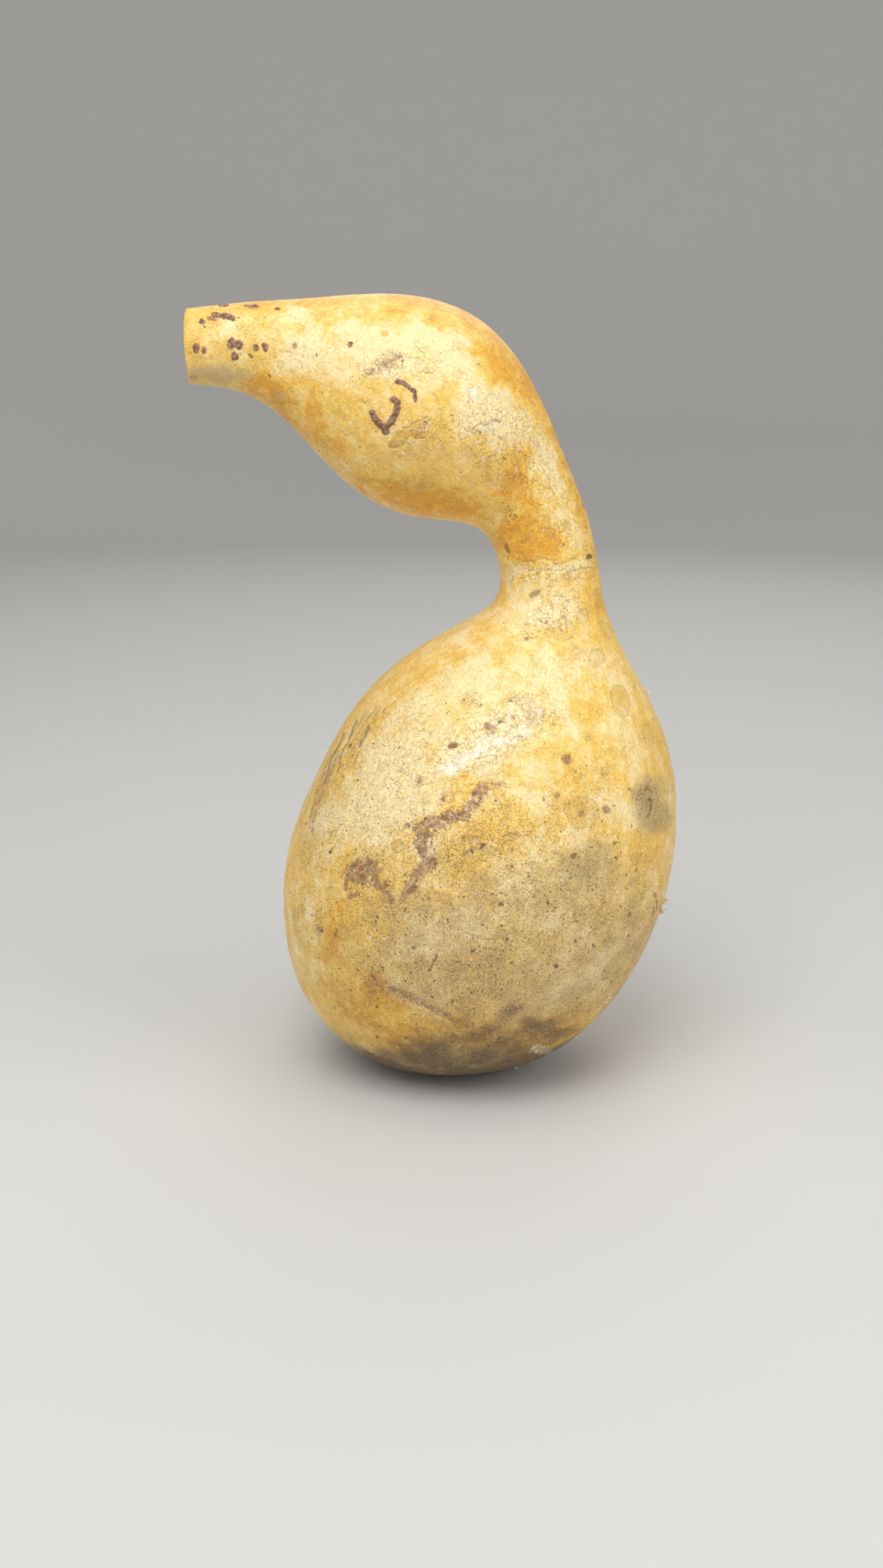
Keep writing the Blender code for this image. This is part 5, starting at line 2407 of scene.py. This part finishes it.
@dataclass(frozen=True)
class Scatter:
    """Strews small shapes over the skin, as thickly as one of its layers says."""

    name: str
    shape: Shape
    layer: str
    amount: float
    least: tuple[float, float, float]
    most: tuple[float, float, float]
    tilt: tuple[float, float] = (0.0, 0.0)
    seed: int = 3

    def build(self, skin: bpy.types.Object, finish: bpy.types.Material) -> bpy.types.Object:
        """Strew the shapes over the skin.

        Args:
            skin: The skin's object.
            finish: The shapes' material.

        Returns:
            One object with all the shapes.
        """
        piece = bpy.data.objects.new(self.name, bpy.data.meshes.new(self.name))
        bpy.context.scene.collection.objects.link(piece)
        least, most = self.tilt
        values = {
            "Ground": skin,
            "Amount": self.amount,
            "Least Tilt": least,
            "Most Tilt": most,
            "Seed": self.seed,
        }
        grown(piece, self.make(finish), values)
        return piece

    def make(self, finish: bpy.types.Material) -> bpy.types.NodeTree:
        """Build the tree.

        Args:
            finish: The shapes' material.

        Returns:
            The tree.
        """
        weave = new_group(
            self.name,
            "GeometryNodeTree",
            {
                "Geometry": ("NodeSocketGeometry",),
                "Ground": ("NodeSocketObject",),
                "Amount": ("NodeSocketFloat",),
                "Least Tilt": ("NodeSocketFloat",),
                "Most Tilt": ("NodeSocketFloat",),
                "Seed": ("NodeSocketInt",),
            },
            {"Geometry": "NodeSocketGeometry"},
        )
        given = weave.add("NodeGroupInput").outputs
        ground = weave.add("GeometryNodeObjectInfo", {"Object": given["Ground"]})
        density = weave.times(weave.named(self.layer, "FLOAT"), given["Amount"])
        strewn = weave.add(
            "GeometryNodeDistributePointsOnFaces",
            {"Mesh": ground.outputs["Geometry"], "Density": density, "Seed": given["Seed"]},
        )
        tilt = weave.add("FunctionNodeRandomValue", {2: given["Least Tilt"], 3: given["Most Tilt"]})
        weave.plug(tilt.inputs["Seed"], given["Seed"])
        spin = weave.add("FunctionNodeRandomValue", {2: -math.pi, 3: math.pi, "Seed": self.seed + 1})
        turned = strewn.outputs["Rotation"]
        for axis, angle in (("Z", spin), ("X", tilt)):
            turn = weave.add("ShaderNodeCombineXYZ", {axis: angle.outputs[1]}).outputs[0]
            turned = weave.add(
                "FunctionNodeRotateRotation", {0: turned, 1: turn}, rotation_space="LOCAL"
            ).outputs[0]
        scale = self.spread(weave, self.least, self.most, given["Seed"])
        placed = weave.add(
            "GeometryNodeInstanceOnPoints",
            {
                "Points": strewn.outputs["Points"],
                "Instance": self.thing(weave),
                "Rotation": turned,
                "Scale": scale,
            },
        )
        real = weave.add("GeometryNodeRealizeInstances", {"Geometry": placed.outputs[0]})
        done = weave.add("GeometryNodeSetMaterial", {"Geometry": real.outputs[0], "Material": finish})
        weave.add("NodeGroupOutput", {"Geometry": done.outputs[0]})
        return weave.tree

    @staticmethod
    def spread(weave: Weave, low: tuple, high: tuple, seed: Socket) -> Socket:
        """A random vector for each point.

        Args:
            weave: What adds the nodes.
            low: The least values.
            high: The greatest.
            seed: The input that seeds it.

        Returns:
            The vectors.
        """
        node = weave.add("FunctionNodeRandomValue", {0: low, 1: high}, data_type="FLOAT_VECTOR")
        weave.plug(node.inputs["Seed"], seed)
        return node.outputs[0]

    def thing(self, weave: Weave) -> Socket:
        """The shape itself, one millimetre long before it is scaled.

        Args:
            weave: What adds the nodes.

        Returns:
            The shape's geometry.
        """
        if self.shape is Shape.CRUMB:
            inputs = {"Radius": MM / 2, "Subdivisions": 1}
            return weave.add("GeometryNodeMeshIcoSphere", inputs).outputs[0]
        inputs = {"Vertices": 4, "Radius Top": 0.1 * MM, "Radius Bottom": MM / 2, "Depth": MM}
        return weave.add("GeometryNodeMeshCone", inputs).outputs[0]


# The studio

@dataclass(frozen=True)
class Studio:
    """A plain pale floor that curves up into a wall all round, and soft lamps."""

    floor_radius: float = 1.5
    curve: float = 0.5
    wall_height: float = 1.6
    floor_drop: float = 0.3 * MM
    centre: float = 0.02
    curve_steps: int = 16
    columns: int = 96
    aim_height: float = 0.13
    pale: Colour = tint(0.60, 0.595, 0.58)
    soft_grey: Colour = tint(0.5, 0.5, 0.5)
    sky: Colour = tint(1.0, 0.99, 0.97)
    sky_strength: float = 0.24

    def build(self) -> None:
        """Build the bowl, the lamps and the sky."""
        self.bowl()
        self.lamp("key_lamp", azimuth=-20.0, elevation=50.0, distance=1.25, size=0.8, power=9.3)
        self.lamp("left_lamp", azimuth=-78.0, elevation=26.0, distance=1.4, size=1.0, power=3.2)
        self.lamp("top_lamp", azimuth=30.0, elevation=80.0, distance=1.3, size=1.2, power=6.0)
        self.lamp("fill_lamp", azimuth=54.0, elevation=22.0, distance=1.4, size=1.1, power=7.6)
        self.lamp("back_lamp", azimuth=170.0, elevation=38.0, distance=1.4, size=1.0, power=4.0)
        world = bpy.data.worlds.new("studio_sky")
        world.use_nodes = True
        sky = world.node_tree.nodes["Background"]
        sky.inputs["Color"].default_value = self.sky
        sky.inputs["Strength"].default_value = self.sky_strength
        bpy.context.scene.world = world
        bpy.context.scene.view_settings.view_transform = "Standard"

    def bowl(self) -> None:
        """The floor and the wall, turned from one profile."""
        arc = [
            (
                self.floor_radius + self.curve * math.sin(turn),
                self.curve * (1.0 - math.cos(turn)) - self.floor_drop,
            )
            for turn in np.linspace(0.0, math.pi / 2, self.curve_steps)
        ]
        profile = [(self.centre, -self.floor_drop), *arc, (arc[-1][0], self.wall_height)]
        count = self.columns
        turns = np.linspace(0.0, 2 * math.pi, count, endpoint=False)
        points = [(r * math.cos(t), r * math.sin(t), z) for r, z in profile for t in turns]
        faces = [
            (row * count + a, (row + 1) * count + a, (row + 1) * count + b, row * count + b)
            for row in range(len(profile) - 1)
            for a, b in zip(range(count), [*range(1, count), 0])
        ]
        faces.append(tuple(range(count)))
        floor = mesh_piece("studio_floor", points, faces)
        material, weave, shader = new_finish("pale_floor", 0.85)
        soft = weave.step(weave.noise(weave.here(), 0.6, 2.0), 0.3, 0.7, 0.05)
        weave.plug(shader.inputs["Base Color"], weave.mix(soft, self.pale, self.soft_grey))
        floor.data.materials.append(material)

    def lamp(
        self, name: str, azimuth: float, elevation: float, distance: float, size: float, power: float
    ) -> None:
        """One square soft lamp aimed at the gourd.

        Args:
            name: The lamp's name.
            azimuth: Its direction round the gourd, in degrees, from the camera's side.
            elevation: Its height above the horizon, in degrees.
            distance: How far it stands off.
            size: The length of its side.
            power: Its power in watts.
        """
        data = bpy.data.lights.new(name, "AREA")
        data.energy = power
        data.size = size
        lamp = bpy.data.objects.new(name, data)
        turn, rise = math.radians(azimuth), math.radians(elevation)
        back = Vector(
            (math.sin(turn) * math.cos(rise), -math.cos(turn) * math.cos(rise), math.sin(rise))
        )
        aim = Vector((0.0, 0.0, self.aim_height))
        lamp.matrix_world = Matrix.Translation(aim + back * distance) @ back.to_track_quat(
            "Z", "Y"
        ).to_matrix().to_4x4()
        bpy.context.scene.collection.objects.link(lamp)


def report(piece: bpy.types.Object) -> None:
    """Log a finished piece's name and size."""
    piece.data.calc_loop_triangles()
    LOG.info("%s: %d triangles", piece.name, len(piece.data.loop_triangles))


def finish_piece(piece: bpy.types.Object) -> None:
    """Let a piece ride on the gourd's body, and log its triangles.

    Args:
        piece: The piece's object.
    """
    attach(piece, "root")
    report(piece)


def write_sizes() -> None:
    """Bring the scene's transforms up to date."""
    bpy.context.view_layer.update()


def dressings(view: PhotoView, skin: bpy.types.Object, grounds: Grounds) -> list[bpy.types.Object]:
    """Build the pieces that sit on the skin.

    Args:
        view: The photograph's camera.
        skin: The finished skin.
        grounds: The shared shader groups.

    Returns:
        The pieces, with their finishes.
    """
    cork = Flecked("scar_cork", tint(0.21, 0.095, 0.05), tint(0.42, 0.26, 0.17), size=0.0012)
    dirt = Flecked("soil_crumb", tint(0.10, 0.06, 0.03), tint(0.20, 0.13, 0.07))
    paper = Flecked("loose_paper", tint(0.85, 0.78, 0.60), tint(0.66, 0.52, 0.30))
    scabs = CorkyScabs(view, skin, FRONT_SCABS).build()
    scabs.data.materials.append(cork.make(grounds))
    chips = LooseChips(view, skin, OUTLINE_CHIPS).build()
    straw = paper.make(grounds)
    chips.data.materials.append(straw)
    crumbs = Scatter(
        "rind_specks",
        Shape.CRUMB,
        layer="crumbs",
        amount=160000.0,
        least=(0.25, 0.2, 0.1),
        most=(0.75, 0.5, 0.24),
    ).build(skin, dirt.make(grounds))
    fibres = Scatter(
        "rim_fibres",
        Shape.FIBRE,
        layer="fray",
        amount=900000.0,
        least=(0.05, 0.05, 0.4),
        most=(0.09, 0.09, 1.1),
        tilt=(1.48, 1.62),
    ).build(skin, straw)
    return [scabs, chips, crumbs, fibres]


def main() -> None:
    """Build the gourd piece by piece, then the studio round it."""
    logging.basicConfig(level=logging.INFO)
    view = PhotoView()
    view.make_camera()
    grounds = Grounds()
    form = GourdForm()
    charts = (Chart(view, FRONT_WASHES, FRONT_EDGES), back_chart())
    skin = GourdSkin(form, charts).build()
    finishes = {
        Zone.RIND: DriedRind().make(grounds),
        Zone.RIM: SawnRim().make(grounds),
        Zone.LINING: PaperyLining().make(grounds),
    }
    RindRelief().apply(skin, finishes)
    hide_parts(SHELL_NODE)
    finish_piece(skin)
    for piece in dressings(view, skin, grounds):
        finish_piece(piece)
    Studio().build()
    write_sizes()


if __name__ == "__main__":
    main()
